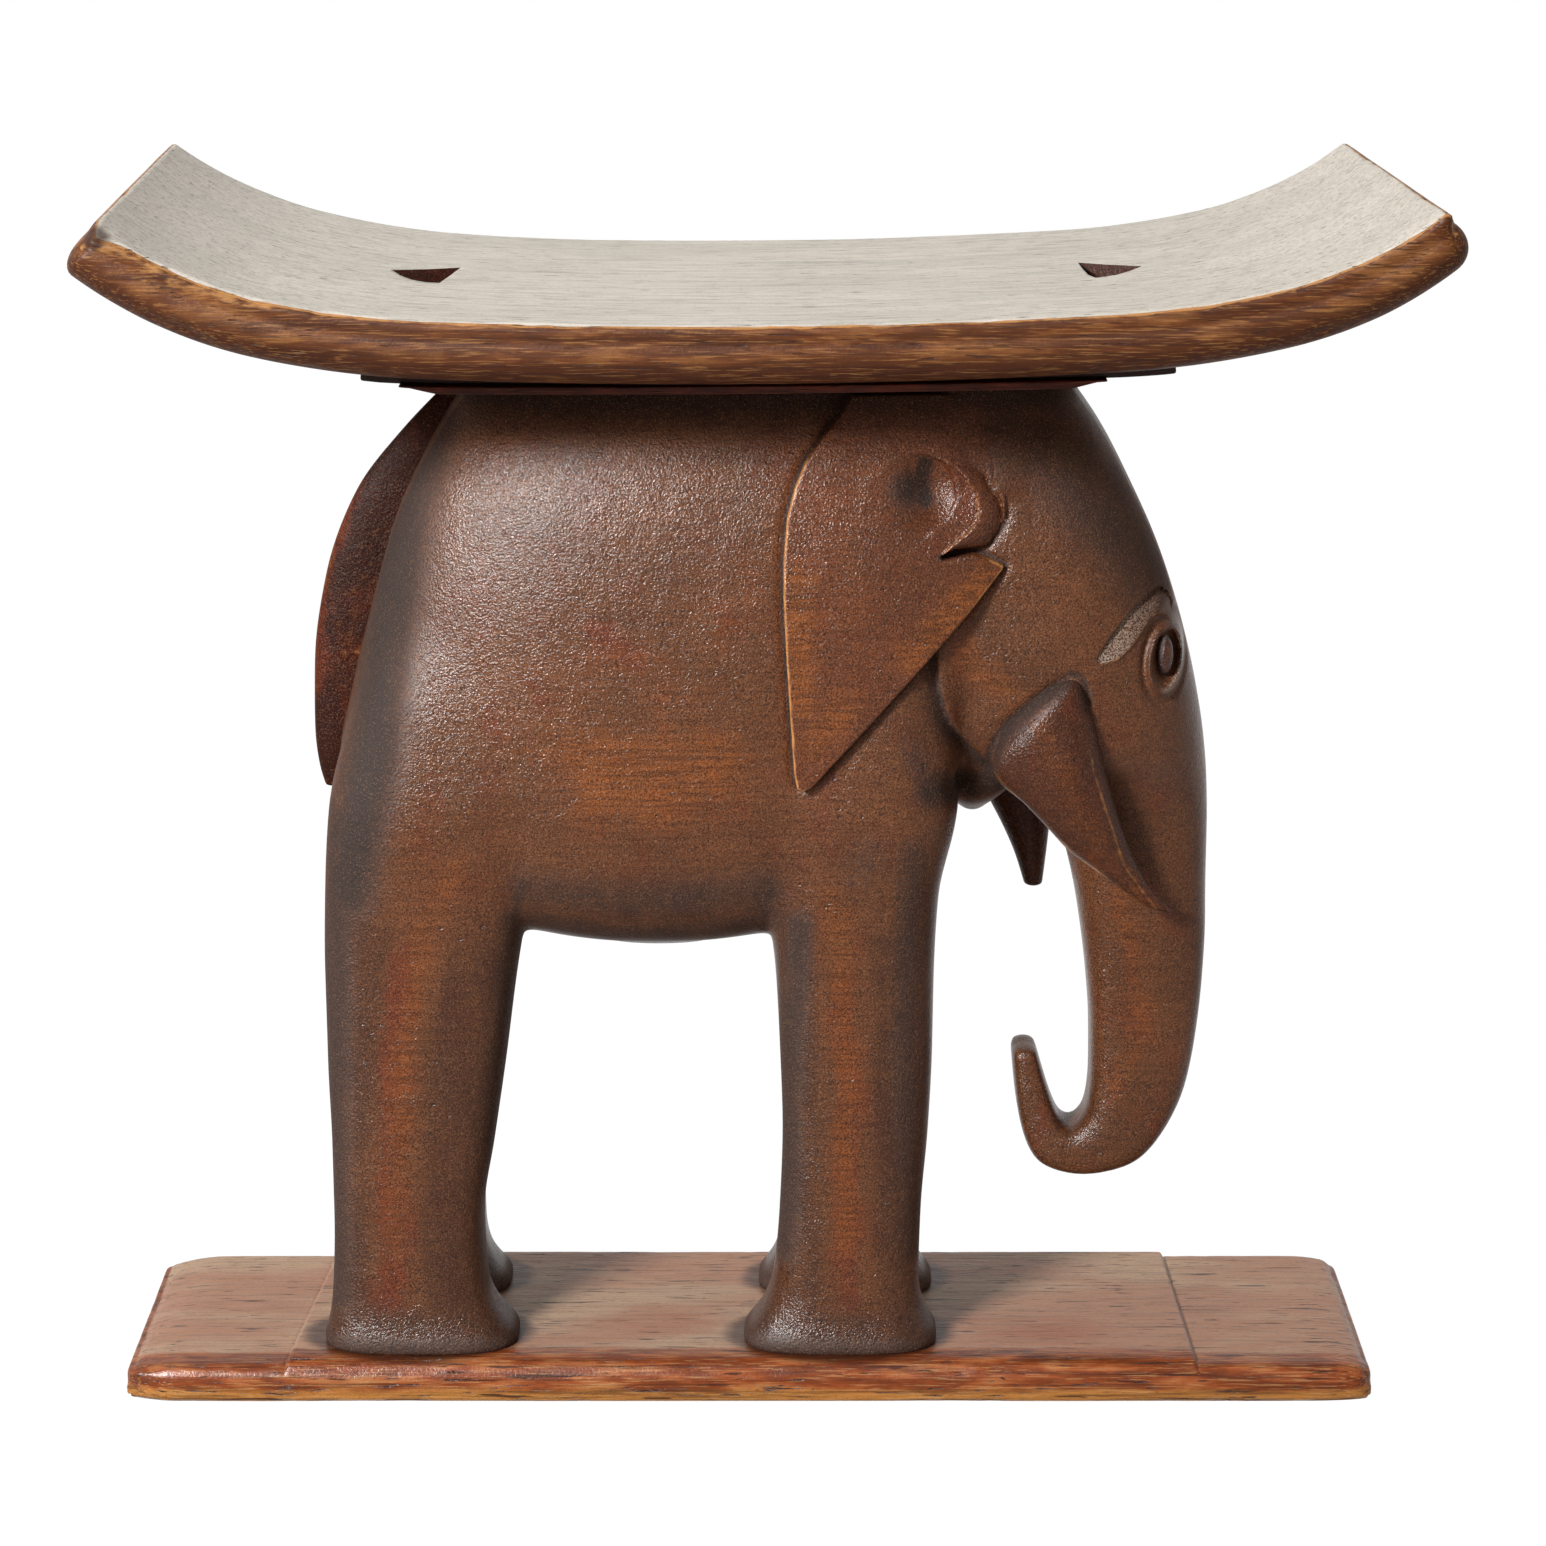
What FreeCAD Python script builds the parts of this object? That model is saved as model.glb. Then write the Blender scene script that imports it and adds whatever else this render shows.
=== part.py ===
import FreeCAD, Part
import Sketcher
import math
import os

# Carved elephant stool: a dished seat on the back of an elephant that stands on a long low board.
# X runs along the stool, and the elephant faces +X. Y runs across it, and Z is up from the floor.
# The origin is on the floor, under the middle of the stool's length and depth.
# The elephant's left side is +Y, and its right side, -Y, is the one usually shown.

os.makedirs("parts", exist_ok=True)
doc = FreeCAD.newDocument("elephant_stool")

# Driving sizes in millimetres, and turns in degrees

SIZES = [
    ("seat_length", 525, "seat, from tip to tip, before its rims are rounded"),
    ("seat_depth", 246, "seat, front to back"),
    ("seat_thickness", 21.3, "seat slab"),
    ("seat_shift", 4.9, "middle of the seat, along X"),
    ("seat_tilt", 0.6, "turn that raises the seat's end over the elephant's head"),
    ("centre_radius", 2740, "bend of the seat's top in its middle stretch"),
    ("centre_turn", 2.7, "turn of that stretch on each side"),
    ("shoulder_radius", 350, "bend of the stretches beside it"),
    ("shoulder_turn", 9.8, "turn of each of them"),
    ("tip_radius", 150, "bend of the two raised ends"),
    ("seat_corner_round", 5, "rounding of the seat's corners in plan"),
    ("seat_rim_round", 2.5, "rounding of the seat's upper rim"),
    ("seat_belly_round", 5, "rounding of the seat's lower rim"),
    ("hole_from_middle", 124, "straight edge of a hand hole, from the seat's middle"),
    ("hole_length", 28, "hand hole, along X"),
    ("hole_depth", 36, "hand hole, along Y"),
    ("hole_back", 12, "back edge of a hand hole, behind the middle"),
    ("hole_bow", 3, "bow of a hand hole's slanting edge"),
    ("plate_length", 310, "plate under the seat, along X"),
    ("plate_depth", 124, "plate, along Y"),
    ("plate_thickness", 11, "plate"),
    ("plate_shift", 3, "middle of the plate, along X"),
    ("pad_length", 271, "tier on the elephant's back, along X"),
    ("pad_depth", 132, "tier, along Y"),
    ("pad_thickness", 3.3, "tier"),
    ("pad_taper", 14, "sloped end of the tier, along X"),
    ("pad_tip", 0.8, "tier at its very end"),
    ("pad_shift", -2.5, "middle of the tier, along X"),
    ("elephant_length", 367, "rump to trunk"),
    ("elephant_height", 407, "feet to back"),
    ("elephant_width", 124, "across the belly"),
    ("elephant_shift", 3.5, "middle of the elephant, along X"),
    ("ear_thickness", 9, "ear, with the part that is let into the head"),
    ("ear_hollow_depth", 6, "hollow inside the ear's folded lobe"),
    ("ear_hollow_length", 17, "hollow, along X"),
    ("ear_hollow_height", 24, "hollow, up and down"),
    ("tenon_radius", 5.5, "tusk's round tenon"),
    ("eye_length", 10, "eye bead, from corner to corner of the eye"),
    ("eye_height", 13, "eye bead, up and down"),
    ("eye_bulge", 9, "eye bead, through its thickness"),
    ("eye_turn", 45, "turn of the eye from straight sideways towards the front"),
    ("eye_pin_radius", 2, "pin behind the eye bead"),
    ("eye_pin_length", 12, "pin, from the bead's middle"),
    ("base_length", 520, "base board, along X"),
    ("base_depth", 130, "base board, along Y"),
    ("base_thickness", 15.5, "base board at its ends"),
    ("base_corner", 12, "rounding of the board's corners in plan"),
    ("base_edge_round", 3, "rounding of the board's rims"),
    ("base_shift", -5, "middle of the board, along X"),
    ("base_step", 2, "raised middle of the board"),
    ("base_step_length", 374, "raised middle, along X"),
    ("base_step_depth", 118, "raised middle, along Y"),
    ("base_step_shift", -6.5, "middle of the raised part, along X"),
    ("base_step_round", 1.2, "rounding of the raised part's rim"),
    ("seat_peg_radius", 6, "dowel between elephant and seat"),
    ("seat_peg_in_seat", 11, "that dowel's depth in the seat"),
    ("seat_peg_in_back", 32, "that dowel's depth in the elephant"),
    ("foot_peg_radius", 7, "dowel between base and foot"),
    ("foot_peg_in_base", 13, "that dowel's depth in the base"),
    ("foot_peg_in_foot", 34, "that dowel's depth in the leg"),
    ("glue_gap", 0.1, "room for glue in every joint"),
    ("overrun", 40, "how far a cutting shape runs past what it cuts"),
]

sheet = doc.addObject("Spreadsheet::Sheet", "sizes")
for row, (alias, amount, note) in enumerate(SIZES, start=1):
    sheet.set(f"A{row}", note)
    sheet.set(f"B{row}", str(amount))
    sheet.setAlias(f"B{row}", alias)
doc.recompute()

# Levels of the stack, from the floor up

FOOT_LEVEL = "(sizes.base_thickness + sizes.base_step)"
BACK_LEVEL = f"({FOOT_LEVEL} + sizes.elephant_height)"
SEAT_TOP = f"({BACK_LEVEL} + sizes.pad_thickness + sizes.plate_thickness + sizes.seat_thickness)"

# Depths of the stacked faces below the seat's top, all of them bent alike

SEAT_UPPER = "0"
SEAT_LOWER = "sizes.seat_thickness"
PLATE_UPPER = f"({SEAT_LOWER} + sizes.glue_gap)"
PLATE_LOWER = f"({SEAT_LOWER} + sizes.plate_thickness)"
PAD_UPPER = f"({PLATE_LOWER} + sizes.glue_gap)"
PAD_TIP = f"({PLATE_LOWER} + sizes.pad_tip)"
PAD_LOWER = f"({PLATE_LOWER} + sizes.pad_thickness)"
ELEPHANT_UPPER = f"({PAD_LOWER} + sizes.glue_gap)"


def value(expression):
    """Amount of an expression in the sheet's sizes."""
    return float(sheet.evalExpression(expression))


def stand_x(share):
    """Place along X, as a share of the elephant's length from its rump."""
    return value("sizes.elephant_shift") + (share - 0.5) * value("sizes.elephant_length")


def stand_y(share):
    """Place or half width across, as a share of half the elephant's width."""
    return share * value("sizes.elephant_width") / 2


def stand_z(share):
    """Height, as a share of the elephant's height above its feet."""
    return value(FOOT_LEVEL) + share * value("sizes.elephant_height")


# The seat's bend, which the plate, the tier and the elephant's back repeat

def half_bend(depth):
    """Arcs of the bend's right half: centre x and z, radius, first and last turn, radius name."""
    top = value(SEAT_TOP)
    first = math.radians(value("sizes.centre_turn"))
    second = first + math.radians(value("sizes.shoulder_turn"))
    centre = value("sizes.centre_radius")
    shoulder = value("sizes.shoulder_radius")
    tip = value("sizes.tip_radius")
    shoulder_x = (centre - shoulder) * math.sin(first)
    shoulder_z = top + centre - (centre - shoulder) * math.cos(first)
    tip_x = shoulder_x + (shoulder - tip) * math.sin(second)
    tip_z = shoulder_z - (shoulder - tip) * math.cos(second)
    return [
        (0, top + centre, centre + depth, 0, first, "sizes.centre_radius"),
        (shoulder_x, shoulder_z, shoulder + depth, first, second, "sizes.shoulder_radius"),
        (tip_x, tip_z, tip + depth, second, math.pi / 2, "sizes.tip_radius"),
    ]


def bend_arcs(depth, low_x, high_x):
    """Arcs of the bend at a depth below the seat's top, from low_x to high_x."""
    middle, *right = half_bend(depth)
    left = [(-x, z, radius, -last, -first, name) for x, z, radius, first, last, name in reversed(right)]
    x, z, radius, first, last, name = middle
    arcs = []
    for x, z, radius, first, last, name in left + [(x, z, radius, -last, last, name)] + right:
        low_turn = math.asin(max(-1, min(1, (low_x - x) / radius)))
        high_turn = math.asin(max(-1, min(1, (high_x - x) / radius)))
        first, last = max(first, low_turn), min(last, high_turn)
        if last > first:
            arcs.append((x, z, radius, first, last, name))
    return arcs


def bend_point(depth, place_x):
    """Point of the bend at a depth below the seat's top."""
    for x, z, radius, first, last, name in half_bend(depth):
        turn = math.asin(min(1, (abs(place_x) - x) / radius))
        if turn <= last:
            return FreeCAD.Vector(place_x, z - radius * math.cos(turn), 0)


def seat_placement():
    """Place of the seat's own frame, which is tilted about the middle of the seat's top."""
    turn = FreeCAD.Rotation(FreeCAD.Vector(0, 1, 0), -value("sizes.seat_tilt"))
    middle = FreeCAD.Vector(0, 0, value(SEAT_TOP))
    shift = FreeCAD.Vector(value("sizes.seat_shift"), 0, 0)
    return FreeCAD.Placement(middle + shift - turn.multVec(middle), turn)


# Sketches and bodies

START, END = 1, 2


def new_sketch(body, label, role):
    """Sketch on one of the body's own origin planes."""
    plane = next(item for item in body.Origin.OriginFeatures if item.Role == role)
    sketch = body.newObject("Sketcher::SketchObject", label)
    sketch.AttachmentSupport = (plane, "")
    sketch.MapMode = "FlatFace"
    return sketch


def join_ends(sketch, first, first_end, second, second_end):
    """Hold the end of one line of a sketch on the end of another."""
    sketch.addConstraint(Sketcher.Constraint("Coincident", first, first_end, second, second_end))


def draw_bend(sketch, depth, low_x, high_x):
    """Draw a run of the bend's arcs, joined end to end, with their radii tied to the sheet."""
    numbers = []
    for x, z, radius, first, last, name in bend_arcs(value(depth), low_x, high_x):
        circle = Part.Circle(FreeCAD.Vector(x, z, 0), FreeCAD.Vector(0, 0, 1), radius)
        quarter = math.pi / 2
        number = sketch.addGeometry(Part.ArcOfCircle(circle, first - quarter, last - quarter), False)
        if numbers:
            join_ends(sketch, numbers[-1], END, number, START)
        tie = sketch.addConstraint(Sketcher.Constraint("Radius", number, radius))
        sketch.setExpression(f"Constraints[{tie}]", f"{name} + {depth}")
        numbers.append(number)
    return numbers


def draw_end(sketch, upper, lower, end, corners=()):
    """Close a profile at one end, from its upper run down to its lower one."""
    start_point = sketch.getPoint(upper, end)
    before, before_end = upper, end
    for corner in list(corners) + [sketch.getPoint(lower, end)]:
        line = sketch.addGeometry(Part.LineSegment(start_point, corner), False)
        join_ends(sketch, before, before_end, line, START)
        start_point, before, before_end = corner, line, END
    join_ends(sketch, before, before_end, lower, end)


def thicken(body, sketch, label, depth_name):
    """Solid from a profile, equally far to both sides of it."""
    solid = body.newObject("PartDesign::Pad", label)
    solid.Profile = sketch
    solid.SideType = "Symmetric"
    solid.setExpression("Length", depth_name)
    doc.recompute()
    return solid


def round_edges(body, base, label, radius_name, chosen):
    """Fillet on the edges of base for which chosen says yes."""
    names = [f"Edge{n}" for n, edge in enumerate(base.Shape.Edges, start=1) if chosen(edge)]
    fillet = body.newObject("PartDesign::Fillet", label)
    fillet.Base = (base, names)
    fillet.setExpression("Radius", radius_name)
    doc.recompute()
    return fillet


def slab(label, upper, lower, upper_limits, lower_limits, depth_name, end_corners=((), ())):
    """Bent slab between two depths of the bend, in the seat's own frame."""
    body = doc.addObject("PartDesign::Body", label + "_body")
    sketch = new_sketch(body, label + "_profile", "XZ_Plane")
    upper_run = draw_bend(sketch, upper, *upper_limits)
    lower_run = draw_bend(sketch, lower, *lower_limits)
    draw_end(sketch, upper_run[0], lower_run[0], START, end_corners[0])
    draw_end(sketch, upper_run[-1], lower_run[-1], END, end_corners[1])
    solid = thicken(body, sketch, label + "_solid", depth_name)
    body.Placement = seat_placement()
    doc.recompute()
    return body, solid


def cylinder(label, radius, height, place):
    """Upright cylinder from its lower end's place, with every size an expression."""
    solid = doc.addObject("Part::Cylinder", label)
    solid.setExpression("Radius", radius)
    solid.setExpression("Height", height)
    for axis, amount in zip("xyz", place):
        solid.setExpression(f"Placement.Base.{axis}", amount)
    return solid


def fuse(label, solids):
    whole = doc.addObject("Part::MultiFuse", label)
    whole.Shapes = solids
    return whole


def cut(label, base, tool):
    rest = doc.addObject("Part::Cut", label)
    rest.Base = base
    rest.Tool = tool
    rest.Refine = False
    return rest


# Carved forms: solids through rings that follow the form

RING_POINTS = 16


def ring(rear, front, side, half_width, squareness, grow):
    """Closed outline in the plane of Y and the line from rear to front.

    A squareness of 2 is an ellipse, and more is nearer to a rectangle.
    """
    rear = FreeCAD.Vector(rear[0], side, rear[1])
    front = FreeCAD.Vector(front[0], side, front[1])
    middle = (rear + front) / 2
    along = (front - rear).normalize() * ((front - rear).Length / 2 + grow)
    across = FreeCAD.Vector(0, half_width + grow, 0)
    points = []
    for step in range(RING_POINTS):
        angle = 2 * math.pi * step / RING_POINTS
        cosine, sine = math.cos(angle), math.sin(angle)
        reach = (abs(cosine) ** squareness + abs(sine) ** squareness) ** (-1 / squareness)
        points.append(middle + along * (reach * cosine) + across * (reach * sine))
    outline = Part.BSplineCurve()
    knots = [float(step) for step in range(RING_POINTS + 1)]
    outline.interpolate(Points=points, PeriodicFlag=True, Parameters=knots)
    return Part.Wire([outline.toShape()])


def carve(label, section_shares, side=1, grow=0.0):
    """Loft through rings given as shares of the elephant's length, height and half width."""
    rings = []
    for number, section in enumerate(section_shares, start=1):
        rear, front, middle, half_width, squareness = section
        rear = (stand_x(rear[0]), stand_z(rear[1]))
        front = (stand_x(front[0]), stand_z(front[1]))
        outline = doc.addObject("Part::Feature", f"{label}_ring_{number}")
        outline.Shape = ring(rear, front, side * stand_y(middle), stand_y(half_width), squareness, grow)
        rings.append(outline)
    form = doc.addObject("Part::Loft", label)
    form.Sections = rings
    form.Solid = True
    return form


def level(height, rear, front, middle, half_width, squareness):
    """Level ring, in the form that carve takes."""
    return ((rear, height), (front, height), middle, half_width, squareness)


# Rings of the elephant: places along it and above its feet, middle and half width across, squareness

TORSO_SHARES = [
    level(0.412, 0.313, 0.436, 0, 0.226, 2.2),
    level(0.421, 0.253, 0.488, 0, 0.440, 2.3),
    level(0.434, 0.204, 0.542, 0, 0.615, 2.4),
    level(0.453, 0.144, 0.602, 0, 0.775, 2.5),
    level(0.481, 0.074, 0.654, 0, 0.880, 2.6),
    level(0.522, 0.025, 0.687, 0, 0.952, 2.6),
    level(0.601, 0.016, 0.711, 0, 0.992, 2.7),
    level(0.689, 0.035, 0.738, 0, 1.000, 2.7),
    level(0.775, 0.060, 0.755, 0, 0.984, 2.7),
    level(0.854, 0.086, 0.768, 0, 0.935, 2.6),
    level(0.910, 0.114, 0.777, 0, 0.863, 2.5),
    level(0.952, 0.139, 0.777, 0, 0.782, 2.4),
    level(0.989, 0.166, 0.768, 0, 0.694, 2.3),
    level(1.060, 0.230, 0.740, 0, 0.500, 2.2),
]

HEAD_SHARES = [
    level(1.060, 0.640, 0.770, 0, 0.450, 2.2),
    level(0.994, 0.613, 0.828, 0, 0.629, 2.3),
    level(0.947, 0.597, 0.865, 0, 0.718, 2.4),
    level(0.891, 0.586, 0.898, 0, 0.782, 2.5),
    level(0.822, 0.583, 0.933, 0, 0.823, 2.5),
    level(0.743, 0.591, 0.962, 0, 0.823, 2.5),
    level(0.684, 0.613, 0.978, 0, 0.790, 2.5),
    ((0.670, 0.620), (0.989, 0.627), 0, 0.720, 2.5),
    ((0.755, 0.574), (0.994, 0.576), 0, 0.600, 2.6),
    ((0.820, 0.529), (0.996, 0.528), 0, 0.480, 2.8),
    ((0.844, 0.478), (0.996, 0.478), 0, 0.400, 3.0),
    ((0.855, 0.424), (0.997, 0.424), 0, 0.350, 3.4),
    ((0.863, 0.370), (0.995, 0.370), 0, 0.320, 3.8),
    ((0.868, 0.316), (0.990, 0.314), 0, 0.300, 4.0),
    ((0.869, 0.262), (0.979, 0.253), 0, 0.290, 4.0),
    ((0.865, 0.226), (0.959, 0.208), 0, 0.282, 4.0),
    ((0.857, 0.211), (0.920, 0.166), 0, 0.274, 4.0),
    ((0.847, 0.205), (0.861, 0.154), 0, 0.266, 4.0),
    ((0.836, 0.213), (0.811, 0.167), 0, 0.258, 4.0),
    ((0.824, 0.238), (0.790, 0.208), 0, 0.242, 4.0),
    ((0.814, 0.267), (0.783, 0.248), 0, 0.226, 4.0),
    ((0.806, 0.291), (0.779, 0.289), 0, 0.210, 4.0),
]

JAW_SHARES = [
    level(0.551, 0.730, 0.800, 0, 0.260, 2.2),
    level(0.562, 0.708, 0.835, 0, 0.430, 2.3),
    level(0.590, 0.690, 0.870, 0, 0.590, 2.4),
    level(0.630, 0.670, 0.890, 0, 0.690, 2.4),
    level(0.680, 0.660, 0.900, 0, 0.740, 2.4),
    level(0.730, 0.655, 0.890, 0, 0.690, 2.4),
]

RIGHT_REAR_LEG_SHARES = [
    level(0.000, -0.007, 0.211, 0.500, 0.403, 5.0),
    level(0.009, -0.005, 0.207, 0.500, 0.395, 5.0),
    level(0.026, -0.003, 0.193, 0.500, 0.371, 4.0),
    level(0.065, 0.000, 0.176, 0.500, 0.347, 3.4),
    level(0.136, 0.003, 0.174, 0.500, 0.339, 3.2),
    level(0.213, 0.003, 0.187, 0.500, 0.339, 3.0),
    level(0.301, 0.001, 0.202, 0.500, 0.347, 3.0),
    level(0.399, 0.001, 0.217, 0.508, 0.363, 3.0),
    level(0.485, 0.004, 0.234, 0.516, 0.403, 3.0),
    level(0.571, 0.011, 0.253, 0.516, 0.452, 2.8),
    level(0.660, 0.036, 0.272, 0.465, 0.455, 2.6),
    level(0.735, 0.075, 0.282, 0.420, 0.390, 2.5),
    level(0.800, 0.125, 0.285, 0.360, 0.280, 2.4),
]

RIGHT_FRONT_LEG_SHARES = [
    level(0.000, 0.473, 0.689, 0.500, 0.403, 5.0),
    level(0.009, 0.477, 0.687, 0.500, 0.395, 5.0),
    level(0.026, 0.488, 0.678, 0.500, 0.371, 4.0),
    level(0.065, 0.501, 0.670, 0.500, 0.347, 3.4),
    level(0.144, 0.512, 0.673, 0.500, 0.339, 3.2),
    level(0.227, 0.515, 0.680, 0.500, 0.339, 3.0),
    level(0.313, 0.512, 0.684, 0.500, 0.347, 3.0),
    level(0.399, 0.507, 0.685, 0.508, 0.363, 3.0),
    level(0.478, 0.496, 0.689, 0.516, 0.403, 3.0),
    level(0.559, 0.485, 0.708, 0.516, 0.444, 2.8),
    level(0.657, 0.482, 0.719, 0.490, 0.470, 2.6),
    level(0.743, 0.484, 0.735, 0.480, 0.455, 2.5),
    level(0.820, 0.495, 0.740, 0.450, 0.420, 2.4),
]

# The left feet flare less, and the left legs are a little slimmer below the belly

LEFT_REAR_LEG_SHARES = [
    level(0.000, -0.003, 0.188, 0.500, 0.395, 5.0),
    level(0.009, -0.002, 0.184, 0.500, 0.380, 5.0),
    level(0.026, 0.000, 0.170, 0.500, 0.352, 4.0),
    level(0.055, 0.002, 0.163, 0.500, 0.339, 3.4),
    level(0.136, 0.004, 0.162, 0.500, 0.335, 3.2),
    level(0.213, 0.004, 0.174, 0.500, 0.337, 3.0),
    level(0.301, 0.002, 0.190, 0.500, 0.347, 3.0),
    level(0.399, 0.001, 0.207, 0.508, 0.363, 3.0),
] + RIGHT_REAR_LEG_SHARES[8:]

LEFT_FRONT_LEG_SHARES = [
    level(0.000, 0.493, 0.684, 0.500, 0.395, 5.0),
    level(0.009, 0.496, 0.681, 0.500, 0.380, 5.0),
    level(0.026, 0.506, 0.673, 0.500, 0.352, 4.0),
    level(0.055, 0.515, 0.668, 0.500, 0.339, 3.4),
    level(0.144, 0.517, 0.670, 0.500, 0.335, 3.2),
    level(0.227, 0.517, 0.677, 0.500, 0.337, 3.0),
    level(0.313, 0.515, 0.682, 0.500, 0.347, 3.0),
    level(0.399, 0.509, 0.685, 0.508, 0.363, 3.0),
] + RIGHT_FRONT_LEG_SHARES[8:]

LEG_SHARES = {
    "rear_left": LEFT_REAR_LEG_SHARES,
    "rear_right": RIGHT_REAR_LEG_SHARES,
    "front_left": LEFT_FRONT_LEG_SHARES,
    "front_right": RIGHT_FRONT_LEG_SHARES,
}

TAIL_SHARES = [
    ((0.160, 0.999), (0.225, 0.945), 0, 0.075, 2.5),
    ((0.093, 0.937), (0.165, 0.903), 0, 0.092, 2.5),
    ((0.041, 0.876), (0.122, 0.844), 0, 0.105, 2.5),
    ((0.005, 0.792), (0.092, 0.774), 0, 0.113, 2.5),
    ((-0.011, 0.701), (0.066, 0.692), 0, 0.110, 2.5),
    ((-0.013, 0.628), (0.050, 0.624), 0, 0.092, 2.5),
    ((-0.009, 0.590), (0.042, 0.590), 0, 0.060, 2.5),
    ((-0.003, 0.569), (0.036, 0.570), 0, 0.022, 2.5),
]

RIGHT_TUSK_SHARES = [
    ((0.757, 0.657), (0.807, 0.705), 0.710, 0.113, 2.0),
    ((0.744, 0.623), (0.830, 0.713), 0.742, 0.194, 2.2),
    ((0.782, 0.581), (0.857, 0.662), 0.750, 0.202, 2.2),
    ((0.807, 0.556), (0.869, 0.618), 0.726, 0.185, 2.2),
    ((0.831, 0.531), (0.883, 0.574), 0.694, 0.158, 2.2),
    ((0.861, 0.509), (0.898, 0.536), 0.653, 0.121, 2.2),
    ((0.894, 0.485), (0.916, 0.500), 0.613, 0.077, 2.0),
    ((0.931, 0.463), (0.940, 0.469), 0.585, 0.032, 2.0),
    ((0.949, 0.460), (0.952, 0.463), 0.577, 0.010, 2.0),
]

LEFT_TUSK_SHARES = [
    ((0.755, 0.670), (0.809, 0.709), 0.710, 0.113, 2.0),
    ((0.738, 0.625), (0.831, 0.701), 0.742, 0.194, 2.2),
    ((0.741, 0.576), (0.845, 0.633), 0.750, 0.198, 2.2),
    ((0.752, 0.534), (0.840, 0.574), 0.726, 0.181, 2.2),
    ((0.771, 0.500), (0.829, 0.524), 0.677, 0.145, 2.2),
    ((0.786, 0.470), (0.824, 0.482), 0.629, 0.106, 2.2),
    ((0.797, 0.439), (0.818, 0.439), 0.581, 0.074, 2.2),
]

# Each tusk's tenon, from a point inside the tusk to one inside the head: along, up, across

RIGHT_TENON_SHARES = ((0.815, 0.630, 0.745), (0.765, 0.715, 0.500))
LEFT_TENON_SHARES = ((0.795, 0.615, 0.745), (0.765, 0.715, 0.500))

# The ear's outer face bulges over the neck: height, half width at the elephant's middle

EAR_FACE_SHARES = [
    (0.571, 1.030),
    (0.657, 1.045),
    (0.756, 1.045),
    (0.829, 1.020),
    (0.891, 0.965),
    (0.940, 0.890),
    (0.977, 0.815),
    (1.060, 0.640),
]
EAR_FACE_REACH_SHARES = (0.068, 0.886)
EAR_FACE_SQUARENESS = 2.6

# Outline of the ear: its rear edge is a smooth curve, and the rest has straight stretches

EAR_REAR_SHARES = [
    (0.597, 0.991),
    (0.572, 0.965),
    (0.545, 0.932),
    (0.527, 0.900),
    (0.518, 0.860),
    (0.516, 0.800),
    (0.520, 0.736),
    (0.524, 0.670),
    (0.527, 0.612),
]
EAR_FRONT_SHARES = [
    (0.539, 0.605),
    (0.676, 0.738),
    (0.755, 0.825),
    (0.710, 0.839),
    (0.686, 0.837),
    (0.684, 0.846),
    (0.703, 0.855),
    (0.735, 0.872),
    (0.755, 0.893),
    (0.757, 0.925),
    (0.738, 0.991),
]
EAR_HOLLOW_SHARES = (0.692, 0.893, 0.930)

EYE_SHARES = (0.935, 0.726, 0.555)

# Dowels: places along the elephant, and across it

SEAT_PEG_SHARES = ((0.327, 0.681), 0.35)
FOOT_PEG_SHARES = ((0.102, 0.581), 0.5)

SIDES = {"left": 1, "right": -1}


# Seat, with its two hand holes

def hand_holes(body):
    """Cut the pair of hand holes through the seat."""
    solid_volume = body.Shape.Volume
    near_x = value("sizes.hole_from_middle")
    far_x = near_x + value("sizes.hole_length")
    back_y = value("sizes.hole_back")
    front_y = back_y - value("sizes.hole_depth")
    bow = value("sizes.hole_bow")
    inner_back = FreeCAD.Vector(near_x, back_y, 0)
    outer_back = FreeCAD.Vector(far_x, back_y, 0)
    inner_front = FreeCAD.Vector(near_x, front_y, 0)
    bulge = FreeCAD.Vector((near_x + far_x) / 2 + bow, (front_y + back_y) / 2 - bow, 0)
    sketch = new_sketch(body, "hole_outline", "XY_Plane")
    back = sketch.addGeometry(Part.LineSegment(inner_back, outer_back), False)
    slant = sketch.addGeometry(Part.Arc(outer_back, bulge, inner_front), False)
    inner = sketch.addGeometry(Part.LineSegment(inner_front, inner_back), False)
    slant_first = sketch.getPoint(slant, START).isEqual(outer_back, bow)
    join_ends(sketch, back, END, slant, START if slant_first else END)
    join_ends(sketch, slant, END if slant_first else START, inner, START)
    join_ends(sketch, inner, END, back, START)
    ties = (("DistanceX", back, "sizes.hole_length"), ("DistanceY", inner, "sizes.hole_depth"))
    for kind, line, name in ties:
        tie = sketch.addConstraint(Sketcher.Constraint(kind, line, START, line, END, value(name)))
        sketch.setExpression(f"Constraints[{tie}]", name)
    hole = body.newObject("PartDesign::Pocket", "hand_hole")
    hole.Profile = sketch
    hole.Type = "ThroughAll"
    hole.Reversed = True
    doc.recompute()
    pair = body.newObject("PartDesign::Mirrored", "hand_holes")
    pair.Originals = [hole]
    pair.MirrorPlane = (sketch, ["V_Axis"])
    body.Tip = pair
    doc.recompute()
    if not pair.Shape.Volume < hole.Shape.Volume < solid_volume:
        raise RuntimeError("the hand holes do not pass through the seat")
    return body


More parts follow.
